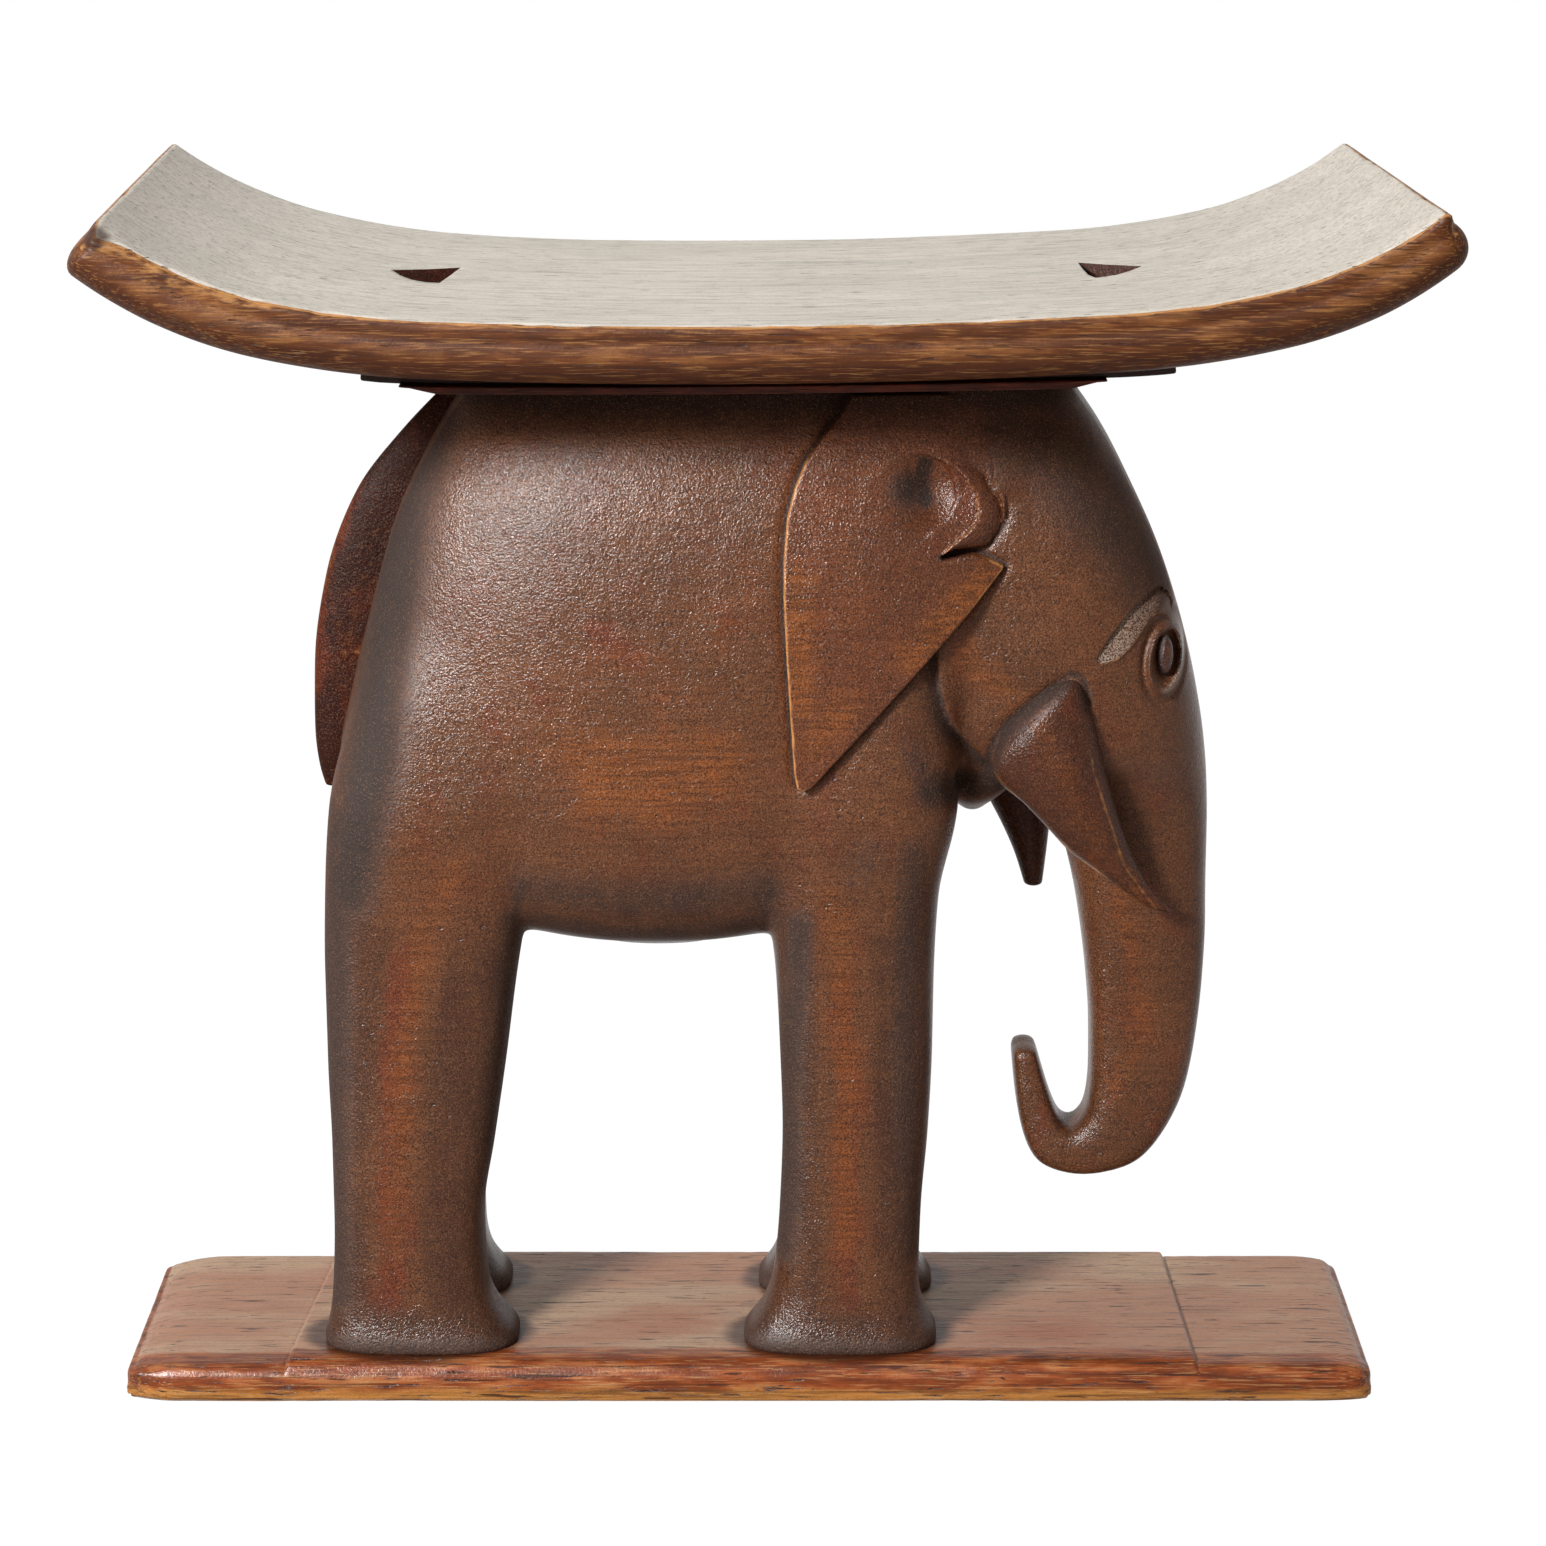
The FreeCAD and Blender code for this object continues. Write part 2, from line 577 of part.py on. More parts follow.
def make_seat():
    x, z, radius, first, last, name = half_bend(value(SEAT_LOWER))[-1]
    turn = math.asin((value("sizes.seat_length") / 2 - x) / radius)
    upper_reach = x + value("sizes.tip_radius") * math.sin(turn)
    lower_reach = x + radius * math.sin(turn)
    body, solid = slab("seat", SEAT_UPPER, SEAT_LOWER, (-upper_reach, upper_reach),
                       (-lower_reach, lower_reach), "sizes.seat_depth")
    half_depth = value("sizes.seat_depth") / 2

    def on_corner(edge):
        middle = edge.CenterOfMass
        return abs(middle.x) > upper_reach and abs(abs(middle.y) - half_depth) < value("sizes.glue_gap")

    corners = round_edges(body, solid, "seat_corners", "sizes.seat_corner_round", on_corner)

    def on_face(depth):
        def chosen(edge):
            return all(abs(bend_point(value(depth), point.x).y - point.z) < value("sizes.glue_gap")
                       for point in edge.discretize(3))
        return chosen

    rim = round_edges(body, corners, "seat_rim", "sizes.seat_rim_round", on_face(SEAT_UPPER))
    round_edges(body, rim, "seat_belly", "sizes.seat_belly_round", on_face(SEAT_LOWER))
    return hand_holes(body)


# Plate under the seat, and the thin tier under it

def make_plate():
    middle = value("sizes.plate_shift - sizes.seat_shift")
    reach = value("sizes.plate_length") / 2
    limits = (middle - reach, middle + reach)
    return slab("seat_plate", PLATE_UPPER, PLATE_LOWER, limits, limits, "sizes.plate_depth")[0]


def make_pad():
    middle = value("sizes.pad_shift - sizes.seat_shift")
    reach = value("sizes.pad_length") / 2
    taper = value("sizes.pad_taper")
    limits = (middle - reach, middle + reach)
    tips = [[bend_point(value(PAD_TIP), place)] for place in limits]
    return slab("back_pad", PAD_UPPER, PAD_LOWER, limits, (limits[0] + taper, limits[1] - taper),
                "sizes.pad_depth", tips)[0]


# Dowels and their bores

def make_pegs(label, radius, low, height, place_shares, grow=""):
    """Four upright dowels, or their bores, which are larger all round by the glue gap."""
    along_shares, across_share = place_shares
    pegs = []
    for along_share in along_shares:
        for side in SIDES.values():
            place = (
                f"sizes.elephant_shift + ({along_share} - 0.5) * sizes.elephant_length",
                f"{side * across_share} * sizes.elephant_width / 2",
                f"{low}" + (f" - {grow}" if grow else ""),
            )
            tall = f"{height}" + (f" + 2 * {grow}" if grow else "")
            wide = f"{radius}" + (f" + {grow}" if grow else "")
            pegs.append(cylinder(f"{label}_{len(pegs) + 1}", wide, tall, place))
    group = doc.addObject("Part::Compound", label)
    group.Links = pegs
    return group


SEAT_PEG = ("sizes.seat_peg_radius", f"{BACK_LEVEL} - sizes.seat_peg_in_back",
            "sizes.seat_peg_in_back + sizes.pad_thickness + sizes.plate_thickness + sizes.seat_peg_in_seat",
            SEAT_PEG_SHARES)
FOOT_PEG = ("sizes.foot_peg_radius", f"{FOOT_LEVEL} - sizes.foot_peg_in_base",
            "sizes.foot_peg_in_base + sizes.foot_peg_in_foot", FOOT_PEG_SHARES)


# Base board with its raised middle

def box(body, label, length_name, depth_name, height_name, floor):
    """Block standing on floor, about the body's own middle."""
    block = body.newObject("PartDesign::AdditiveBox", label)
    block.setExpression("Length", length_name)
    block.setExpression("Width", depth_name)
    block.setExpression("Height", height_name)
    block.setExpression("Placement.Base.y", f"-{depth_name} / 2")
    block.setExpression("Placement.Base.z", floor)
    return block


def make_base():
    body = doc.addObject("PartDesign::Body", "base_body")
    board = box(body, "board", "sizes.base_length", "sizes.base_depth", "sizes.base_thickness", "0")
    board.setExpression("Placement.Base.x", "sizes.base_shift - sizes.base_length / 2")
    doc.recompute()
    reach = value("sizes.base_thickness") / 2

    def upright(edge):
        ends = [vertex.Point for vertex in edge.Vertexes]
        return len(ends) == 2 and abs(ends[0].z - ends[1].z) > reach

    corners = round_edges(body, board, "board_corners", "sizes.base_corner", upright)
    round_edges(body, corners, "board_rims", "sizes.base_edge_round", lambda edge: not upright(edge))
    step = box(body, "raised_middle", "sizes.base_step_length", "sizes.base_step_depth",
               "sizes.base_step + sizes.base_thickness / 2", "sizes.base_thickness / 2")
    step.setExpression("Placement.Base.x", "sizes.base_step_shift - sizes.base_step_length / 2")
    doc.recompute()
    top = value(FOOT_LEVEL)

    def on_step(edge):
        return all(abs(vertex.Point.z - top) < value("sizes.glue_gap") for vertex in edge.Vertexes)

    round_edges(body, step, "step_rim", "sizes.base_step_round", on_step)
    return body


# Tusks, ears, eyes and tail, and the beds that they sit in

def pin(label, foot, head, radius, grow=0.0):
    """Round pin from one place to another, longer and wider by grow."""
    axis = head - foot
    solid = doc.addObject("Part::Cylinder", label)
    solid.setExpression("Radius", f"{radius} + {grow}")
    solid.Height = axis.Length + grow
    solid.Placement = FreeCAD.Placement(foot, FreeCAD.Rotation(FreeCAD.Vector(0, 0, 1), axis))
    return solid


def make_tusk(label, section_shares, tenon_shares, side, grow=0.0):
    """Tusk with its round tenon, or the bed that both fit in."""
    horn = carve(label + "_horn", section_shares, side, grow)
    foot, head = [FreeCAD.Vector(stand_x(along), side * stand_y(across), stand_z(up))
                  for along, up, across in tenon_shares]
    tenon = pin(label + "_tenon", foot, head, "sizes.tenon_radius", grow)
    return fuse(label, [horn, tenon])


def ear_form(label, grow=0.0):
    """Bulging form whose sides are the ears' outer faces, or a smaller one inside it."""
    rear, front = EAR_FACE_REACH_SHARES
    rings = [level(height, rear, front, 0, half_width, EAR_FACE_SQUARENESS)
             for height, half_width in EAR_FACE_SHARES]
    return carve(label, rings, 1, grow)


def ear_block(label, side):
    """Block with the ear's outline, from the middle of the head out past its side."""
    rear = [FreeCAD.Vector(stand_x(along), 0, stand_z(up)) for along, up in EAR_REAR_SHARES]
    front = [FreeCAD.Vector(stand_x(along), 0, stand_z(up)) for along, up in EAR_FRONT_SHARES]
    curve = Part.BSplineCurve()
    curve.interpolate(rear)
    straight = Part.makePolygon([rear[-1]] + front + [rear[0]])
    outline = doc.addObject("Part::Feature", label + "_outline")
    outline.Shape = Part.Face(Part.Wire([curve.toShape()] + straight.Edges))
    block = doc.addObject("Part::Extrusion", label)
    block.Base = outline
    block.DirMode = "Custom"
    block.Dir = FreeCAD.Vector(0, side, 0)
    block.setExpression("LengthFwd", "sizes.elephant_width / 2 + sizes.overrun")
    return block


def make_ear(label, side):
    """Ear plate, with the hollow inside its folded lobe."""
    block = ear_block(label + "_block", side)
    outer = doc.addObject("Part::Common", label + "_outer")
    outer.Base = block
    outer.Tool = ear_form(label + "_face")
    plate = cut(label + "_plate", outer, ear_form(label + "_back", -value("sizes.ear_thickness")))
    along, up, across = EAR_HOLLOW_SHARES
    hollow = doc.addObject("Part::Ellipsoid", label + "_hollow")
    hollow.setExpression("Radius1", "sizes.ear_hollow_height / 2")
    hollow.setExpression("Radius2", "sizes.ear_hollow_length / 2")
    hollow.setExpression("Radius3", "sizes.ear_hollow_depth")
    hollow.Placement.Base = FreeCAD.Vector(stand_x(along), side * stand_y(across), stand_z(up))
    return cut(label, plate, hollow)


def ear_bed(label, side):
    """Recess for the ear: everything in its outline outside the recess's floor."""
    depth = value("sizes.ear_thickness + sizes.glue_gap")
    return cut(label, ear_block(label + "_block", side), ear_form(label + "_floor", -depth))


def make_eye(label, side, grow=0.0):
    """Eye bead with the pin behind it, or the bed that both fit in."""
    along, up, across = EYE_SHARES
    middle = FreeCAD.Vector(stand_x(along), side * stand_y(across), stand_z(up))
    turn = side * (90 - value("sizes.eye_turn"))
    bead = doc.addObject("Part::Ellipsoid", label + "_bead")
    bead.setExpression("Radius1", f"sizes.eye_height / 2 + {grow}")
    bead.setExpression("Radius2", f"sizes.eye_bulge / 2 + {grow}")
    bead.setExpression("Radius3", f"sizes.eye_length / 2 + {grow}")
    bead.Placement = FreeCAD.Placement(middle, FreeCAD.Rotation(FreeCAD.Vector(0, 0, 1), turn))
    inward = FreeCAD.Vector(-math.cos(math.radians(turn)), -math.sin(math.radians(turn)), 0)
    head = middle + inward * value("sizes.eye_pin_length")
    return fuse(label, [bead, pin(label + "_pin", middle, head, "sizes.eye_pin_radius", grow)])


# Elephant: one carved block, with a bed for everything that is let into it

def above_back():
    """Everything over the elephant's back, whose top repeats the bend under the thin tier."""
    reach = value("sizes.elephant_length / 2 + sizes.overrun")
    side = value("sizes.elephant_width / 2 + sizes.overrun")
    depth = value(ELEPHANT_UPPER)
    edges = []
    for x, z, radius, first, last, name in bend_arcs(depth, -reach, reach):
        points = [FreeCAD.Vector(x + radius * math.sin(turn), -side, z - radius * math.cos(turn))
                  for turn in (first, (first + last) / 2, last)]
        edges.append(Part.Arc(*points).toShape())
    low = edges[0].firstVertex().Point
    high = edges[-1].lastVertex().Point
    rise = FreeCAD.Vector(0, 0, value("sizes.overrun"))
    edges += Part.makePolygon([high, high + rise, low + rise, low]).Edges
    block = doc.addObject("Part::Feature", "above_back")
    block.Shape = Part.Face(Part.Wire(edges)).extrude(FreeCAD.Vector(0, 2 * side, 0))
    block.Placement = seat_placement()
    return block


TUSKS = {
    "tusk_left": (LEFT_TUSK_SHARES, LEFT_TENON_SHARES, SIDES["left"]),
    "tusk_right": (RIGHT_TUSK_SHARES, RIGHT_TENON_SHARES, SIDES["right"]),
}


def make_elephant():
    gap = value("sizes.glue_gap")
    forms = [carve("torso", TORSO_SHARES), carve("head", HEAD_SHARES), carve("jaw", JAW_SHARES)]
    beds = [above_back()]
    for name, side in SIDES.items():
        for end in ("rear", "front"):
            forms.append(carve(f"{end}_leg_{name}", LEG_SHARES[f"{end}_{name}"], side))
        beds.append(ear_bed(f"ear_bed_{name}", side))
        beds.append(make_eye(f"eye_bed_{name}", side, gap))
    for label, (horn, tenon, side) in TUSKS.items():
        beds.append(make_tusk(label + "_bed", horn, tenon, side, gap))
    for label, peg in (("back_bores", SEAT_PEG), ("foot_bores", FOOT_PEG)):
        beds.append(make_pegs(label, *peg, "sizes.glue_gap"))
    beds.append(carve("tail_bed", TAIL_SHARES, 1, gap))
    block = fuse("elephant_block", forms)
    for number, bed in enumerate(beds, start=1):
        block = cut(f"elephant_cut_{number}", block, bed)
    return block


# Every piece, under the name that its file takes

def drilled(body, label, peg):
    """A piece with the bores for the dowels that pass through it or end in it."""
    return cut(label + "_drilled", body, make_pegs(label + "_bores", *peg, "sizes.glue_gap"))


nodes = {
    "seat": drilled(make_seat(), "seat", SEAT_PEG),
    "seat_plate": drilled(make_plate(), "seat_plate", SEAT_PEG),
    "back_pad": drilled(make_pad(), "back_pad", SEAT_PEG),
    "elephant": make_elephant(),
    "tail": carve("tail_strip", TAIL_SHARES),
    "base": drilled(make_base(), "base", FOOT_PEG),
    "seat_dowels": make_pegs("seat_pegs", *SEAT_PEG),
    "foot_dowels": make_pegs("foot_pegs", *FOOT_PEG),
}
for name, side in SIDES.items():
    nodes[f"ear_{name}"] = make_ear(f"{name}_ear", side)
    nodes[f"eye_{name}"] = make_eye(f"{name}_eye", side)
for name, (horn, tenon, side) in TUSKS.items():
    nodes[name] = make_tusk(name + "_piece", horn, tenon, side)
for name, piece in nodes.items():
    piece.Label = name
doc.recompute()

for piece in doc.Objects:
    if "Invalid" in piece.State or "Error" in piece.State:
        raise RuntimeError(f"{piece.Label} did not build: {piece.State}")
for name, piece in nodes.items():
    if piece.Label != name or piece.Shape.isNull() or not piece.Shape.isValid():
        raise RuntimeError(f"{name} is not a valid solid")
for name, piece in nodes.items():
    piece.Shape.exportStep(f"parts/{name}.step")
    bounds = piece.Shape.BoundBox
    print(f"{name}: {len(piece.Shape.Solids)} solid(s), {piece.Shape.Volume / 1000:.1f} cm3, "
          f"x {bounds.XMin:.1f} to {bounds.XMax:.1f}, y {bounds.YMin:.1f} to {bounds.YMax:.1f}, "
          f"z {bounds.ZMin:.1f} to {bounds.ZMax:.1f}")
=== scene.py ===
import bmesh
import bpy
import math
import numpy as np
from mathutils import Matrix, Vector


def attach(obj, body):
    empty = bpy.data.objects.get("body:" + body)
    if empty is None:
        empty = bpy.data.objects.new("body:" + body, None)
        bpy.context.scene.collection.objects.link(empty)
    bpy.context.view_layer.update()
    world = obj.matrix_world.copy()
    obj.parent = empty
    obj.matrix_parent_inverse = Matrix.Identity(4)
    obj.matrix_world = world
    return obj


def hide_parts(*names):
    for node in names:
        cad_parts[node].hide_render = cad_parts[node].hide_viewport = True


# Carved elephant stool. The carved pieces are worked out as fields of distances, which are negative
# inside a piece, and then meshed. The seat, its plate and tier and the base are bent and worn boards.
# All places are in metres in the row's frame: +X towards the trunk, +Y to the elephant's left.

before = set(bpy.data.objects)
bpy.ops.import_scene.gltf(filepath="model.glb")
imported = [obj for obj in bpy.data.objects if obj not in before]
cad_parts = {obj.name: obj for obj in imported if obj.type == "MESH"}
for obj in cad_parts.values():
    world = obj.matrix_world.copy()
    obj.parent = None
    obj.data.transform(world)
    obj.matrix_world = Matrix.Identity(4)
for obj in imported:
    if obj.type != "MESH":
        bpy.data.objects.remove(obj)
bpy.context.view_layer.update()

MM = 0.001
SIDES = {"left": 1, "right": -1}

# The elephant's own measure, in which the ring tables are written

ELEPHANT_LENGTH = 367 * MM
ELEPHANT_HEIGHT = 407 * MM
ELEPHANT_WIDTH = 124 * MM
ELEPHANT_SHIFT = 3.5 * MM
FOOT_LEVEL = 17.5 * MM

SEAT_TOP = 460.1 * MM
SEAT_LENGTH = 525 * MM
SEAT_DEPTH = 246 * MM
SEAT_THICKNESS = 21.3 * MM
SEAT_SHIFT = 4.9 * MM
SEAT_TILT = math.radians(0.6)
BEND_RADII = (2740 * MM, 350 * MM, 150 * MM)
BEND_TURNS = (math.radians(2.7), math.radians(9.8))
PLATE_THICKNESS = 11 * MM
PAD_THICKNESS = 3.3 * MM
GLUE_GAP = 0.1 * MM
PLATE_SAG = 2.8 * MM
PLATE_REACH = 150 * MM
PLATE_DEPTH = SEAT_THICKNESS + PLATE_THICKNESS
PAD_DEPTH = PLATE_DEPTH + PAD_THICKNESS


def stand_x(share):
    return ELEPHANT_SHIFT + (share - 0.5) * ELEPHANT_LENGTH


def stand_y(share):
    return share * ELEPHANT_WIDTH / 2


def stand_z(share):
    return FOOT_LEVEL + share * ELEPHANT_HEIGHT


def level(height, rear, front, middle, half_width, squareness):
    """Level ring: rear end, front end, middle and half width across, squareness."""
    return ((rear, height), (front, height), middle, half_width, squareness)


TORSO_SHARES = [
    level(0.412, 0.313, 0.436, 0, 0.226, 2.2),
    level(0.421, 0.253, 0.488, 0, 0.440, 2.3),
    level(0.434, 0.204, 0.542, 0, 0.615, 2.4),
    level(0.453, 0.144, 0.602, 0, 0.775, 2.5),
    level(0.481, 0.074, 0.654, 0, 0.880, 2.6),
    level(0.522, 0.025, 0.687, 0, 0.952, 2.6),
    level(0.601, 0.016, 0.711, 0, 0.992, 2.7),
    level(0.689, 0.035, 0.738, 0, 1.000, 2.7),
    level(0.775, 0.060, 0.755, 0, 0.984, 2.7),
    level(0.854, 0.086, 0.768, 0, 0.935, 2.6),
    level(0.910, 0.114, 0.777, 0, 0.863, 2.5),
    level(0.952, 0.139, 0.777, 0, 0.782, 2.4),
    level(0.989, 0.166, 0.768, 0, 0.694, 2.3),
    level(1.060, 0.230, 0.740, 0, 0.500, 2.2),
]

HEAD_SHARES = [
    level(1.060, 0.640, 0.770, 0, 0.450, 2.2),
    level(0.994, 0.613, 0.828, 0, 0.629, 2.3),
    level(0.947, 0.597, 0.865, 0, 0.718, 2.4),
    level(0.891, 0.586, 0.898, 0, 0.782, 2.5),
    level(0.822, 0.583, 0.933, 0, 0.823, 2.5),
    level(0.743, 0.591, 0.962, 0, 0.823, 2.5),
    level(0.684, 0.613, 0.978, 0, 0.790, 2.5),
    ((0.670, 0.620), (0.989, 0.627), 0, 0.720, 2.5),
    ((0.765, 0.590), (0.994, 0.582), 0, 0.540, 2.6),
    ((0.822, 0.540), (0.996, 0.532), 0, 0.430, 2.8),
    ((0.844, 0.478), (0.996, 0.478), 0, 0.400, 3.0),
    ((0.855, 0.424), (0.997, 0.424), 0, 0.350, 3.4),
    ((0.863, 0.370), (0.995, 0.370), 0, 0.320, 3.8),
    ((0.868, 0.316), (0.990, 0.314), 0, 0.300, 4.0),
    ((0.869, 0.262), (0.979, 0.253), 0, 0.290, 4.0),
    ((0.865, 0.226), (0.959, 0.208), 0, 0.282, 4.0),
    ((0.857, 0.211), (0.920, 0.166), 0, 0.274, 4.0),
    ((0.847, 0.205), (0.861, 0.154), 0, 0.266, 4.0),
    ((0.836, 0.213), (0.811, 0.167), 0, 0.258, 4.0),
    ((0.824, 0.238), (0.790, 0.208), 0, 0.242, 4.0),
    ((0.814, 0.267), (0.783, 0.248), 0, 0.226, 4.0),
    ((0.806, 0.291), (0.779, 0.289), 0, 0.210, 4.0),
]

JAW_SHARES = [
    level(0.553, 0.715, 0.742, 0, 0.220, 2.2),
    level(0.564, 0.700, 0.758, 0, 0.370, 2.3),
    level(0.590, 0.690, 0.788, 0, 0.520, 2.4),
    level(0.630, 0.670, 0.840, 0, 0.660, 2.4),
    level(0.680, 0.660, 0.900, 0, 0.740, 2.4),
    level(0.730, 0.655, 0.890, 0, 0.690, 2.4),
]

LEG_MIDDLE_SHARES = (0.500,) * 8 + (0.508,)
LEG_WIDTH_SHARES = {
    "right": (0.420, 0.416, 0.388, 0.356, 0.341, 0.337, 0.339, 0.347, 0.363),
    "left": (0.420, 0.414, 0.380, 0.350, 0.338, 0.335, 0.337, 0.347, 0.363),
}
LEG_SQUARENESS = (3.2, 3.2, 3.2, 3.1) + (3.0,) * 5
REAR_LEG_HEIGHT_SHARES = (0.000, 0.007, 0.018, 0.036, 0.065, 0.136, 0.213, 0.301, 0.399)
FRONT_LEG_HEIGHT_SHARES = (0.000, 0.007, 0.018, 0.036, 0.065, 0.144, 0.227, 0.313, 0.399)
REAR_THIGH_SHARES = [
    level(0.485, 0.004, 0.234, 0.516, 0.403, 3.0),
    level(0.571, 0.011, 0.253, 0.516, 0.452, 2.8),
    level(0.660, 0.036, 0.272, 0.465, 0.455, 2.6),
    level(0.735, 0.075, 0.282, 0.420, 0.390, 2.5),
    level(0.800, 0.125, 0.285, 0.360, 0.280, 2.4),
]
FRONT_THIGH_SHARES = [
    level(0.478, 0.496, 0.689, 0.516, 0.403, 3.0),
    level(0.559, 0.485, 0.708, 0.516, 0.444, 2.8),
    level(0.657, 0.482, 0.719, 0.490, 0.470, 2.6),
    level(0.743, 0.484, 0.735, 0.480, 0.455, 2.5),
    level(0.820, 0.495, 0.740, 0.450, 0.420, 2.4),
]


def leg(side, heights, rears, fronts, thigh):
    """Level rings of a leg from the foot up, which end in its thigh's."""
    rows = zip(heights, rears, fronts, LEG_MIDDLE_SHARES, LEG_WIDTH_SHARES[side], LEG_SQUARENESS)
    return [level(*row) for row in rows] + thigh


RIGHT_REAR_LEG_SHARES = leg(
    "right", REAR_LEG_HEIGHT_SHARES, (-0.012, -0.011, -0.007, -0.003, 0.000, 0.003, 0.003, 0.001, 0.001),
    (0.214, 0.213, 0.203, 0.187, 0.177, 0.174, 0.187, 0.202, 0.217), REAR_THIGH_SHARES)
RIGHT_FRONT_LEG_SHARES = leg(
    "right", FRONT_LEG_HEIGHT_SHARES, (0.468, 0.470, 0.480, 0.494, 0.504, 0.512, 0.515, 0.512, 0.507),
    (0.694, 0.693, 0.686, 0.676, 0.671, 0.673, 0.680, 0.684, 0.685), FRONT_THIGH_SHARES)
LEFT_REAR_LEG_SHARES = leg(
    "left", REAR_LEG_HEIGHT_SHARES, (-0.005, -0.004, -0.002, 0.000, 0.002, 0.004, 0.004, 0.002, 0.001),
    (0.196, 0.193, 0.181, 0.169, 0.163, 0.162, 0.174, 0.190, 0.207), REAR_THIGH_SHARES)
LEFT_FRONT_LEG_SHARES = leg(
    "left", FRONT_LEG_HEIGHT_SHARES, (0.484, 0.487, 0.498, 0.508, 0.515, 0.517, 0.517, 0.515, 0.509),
    (0.696, 0.693, 0.682, 0.672, 0.668, 0.670, 0.677, 0.682, 0.685), FRONT_THIGH_SHARES)

TAIL_SHARES = [
    ((0.160, 0.999), (0.225, 0.945), 0, 0.075, 2.5),
    ((0.093, 0.937), (0.165, 0.903), 0, 0.092, 2.5),
    ((0.041, 0.876), (0.122, 0.844), 0, 0.105, 2.5),
    ((0.005, 0.792), (0.092, 0.774), 0, 0.113, 2.5),
    ((-0.011, 0.701), (0.066, 0.692), 0, 0.110, 2.5),
    ((-0.013, 0.628), (0.050, 0.624), 0, 0.092, 2.5),
    ((-0.009, 0.590), (0.042, 0.590), 0, 0.060, 2.5),
    ((-0.003, 0.569), (0.036, 0.570), 0, 0.022, 2.5),
]

RIGHT_TUSK_SHARES = [
    ((0.757, 0.657), (0.807, 0.705), 0.710, 0.113, 2.0),
    ((0.744, 0.623), (0.830, 0.713), 0.742, 0.194, 2.2),
    ((0.782, 0.581), (0.857, 0.662), 0.750, 0.202, 2.2),
    ((0.807, 0.556), (0.869, 0.618), 0.726, 0.185, 2.2),
    ((0.831, 0.531), (0.883, 0.574), 0.694, 0.158, 2.2),
    ((0.861, 0.509), (0.898, 0.536), 0.653, 0.121, 2.2),
    ((0.894, 0.485), (0.916, 0.500), 0.613, 0.077, 2.0),
    ((0.931, 0.463), (0.940, 0.469), 0.585, 0.032, 2.0),
    ((0.949, 0.460), (0.952, 0.463), 0.577, 0.010, 2.0),
]

LEFT_TUSK_SHARES = [
    ((0.755, 0.670), (0.809, 0.709), 0.710, 0.113, 2.0),
    ((0.738, 0.625), (0.831, 0.701), 0.742, 0.194, 2.2),
    ((0.741, 0.576), (0.845, 0.633), 0.750, 0.198, 2.2),
    ((0.752, 0.534), (0.840, 0.574), 0.726, 0.181, 2.2),
    ((0.771, 0.500), (0.829, 0.524), 0.677, 0.145, 2.2),
    ((0.786, 0.470), (0.824, 0.482), 0.629, 0.106, 2.2),
    ((0.797, 0.439), (0.818, 0.439), 0.581, 0.074, 2.2),
]

EAR_FACE_SHARES = [
    level(height, 0.068, 0.886, 0, half_width, 2.6)
    for height, half_width in ((0.571, 1.030), (0.657, 1.045), (0.756, 1.045), (0.829, 1.020),
                               (0.891, 0.965), (0.940, 0.890), (0.977, 0.815), (1.060, 0.640))
]

# Lines on the elephant's side, as seen from its side, in millimetres: along X, then height

EAR_OUTLINE = [
    (36.5, 421.0), (31.2, 412.9), (25.4, 406.0), (17.8, 395.4), (13.6, 385.5), (10.5, 373.5),
    (9.2, 357.4), (9.2, 341.2), (10.4, 316.8), (12.0, 292.3), (13.4, 271.6), (14.6, 264.6),
    (17.2, 263.4), (21.0, 265.6), (41.5, 288.2), (67.8, 317.6), (80.5, 332.3), (97.0, 353.2),
    (89.2, 357.4), (84.6, 358.6), (72.2, 356.8), (71.2, 358.6), (77.0, 360.6), (84.5, 360.9),
    (89.8, 361.6), (94.6, 367.5), (96.8, 372.4), (97.4, 380.5), (97.6, 394.0), (91.0, 421.0),
]
EAR_RIM = [
    (67.0, 397.0), (71.6, 395.8), (76.5, 392.7), (80.8, 388.7), (85.3, 382.3), (86.5, 375.9),
    (85.6, 371.5), (82.4, 367.9), (76.8, 363.6), (71.3, 358.6),
]
EAR_ROLL = [
    (70.0, 404.0), (80.5, 397.9), (89.0, 389.8), (95.8, 378.5), (96.4, 371.9), (94.2, 367.0),
    (89.4, 361.4), (84.0, 360.6), (77.0, 360.4), (71.3, 358.2),
]
EAR_WALL = [
    (46.0, 387.0), (50.0, 393.5), (57.0, 397.6), (65.0, 398.4), (71.9, 395.0), (76.3, 388.7),
    (77.5, 380.0), (74.0, 373.0), (68.0, 368.0),
]
JAW_LINE = [
    (66.0, 330.0), (69.4, 316.0), (70.3, 309.0), (71.6, 300.8), (73.7, 292.5), (76.6, 286.3),
    (81.9, 278.8), (88.4, 271.7), (93.5, 266.5),
]
BROW_LOWER = [
    (136.4, 312.4), (138.8, 312.6), (143.6, 314.4), (148.3, 318.3), (152.2, 323.3),
    (156.1, 328.2), (159.3, 330.3), (163.3, 329.4), (166.5, 326.0),
]
BROW_UPPER = [
    (135.0, 313.4), (135.6, 315.9), (138.7, 320.8), (143.3, 326.6), (148.8, 333.1),
    (155.9, 337.7), (159.9, 339.7), (163.9, 337.2), (167.0, 332.1),
]
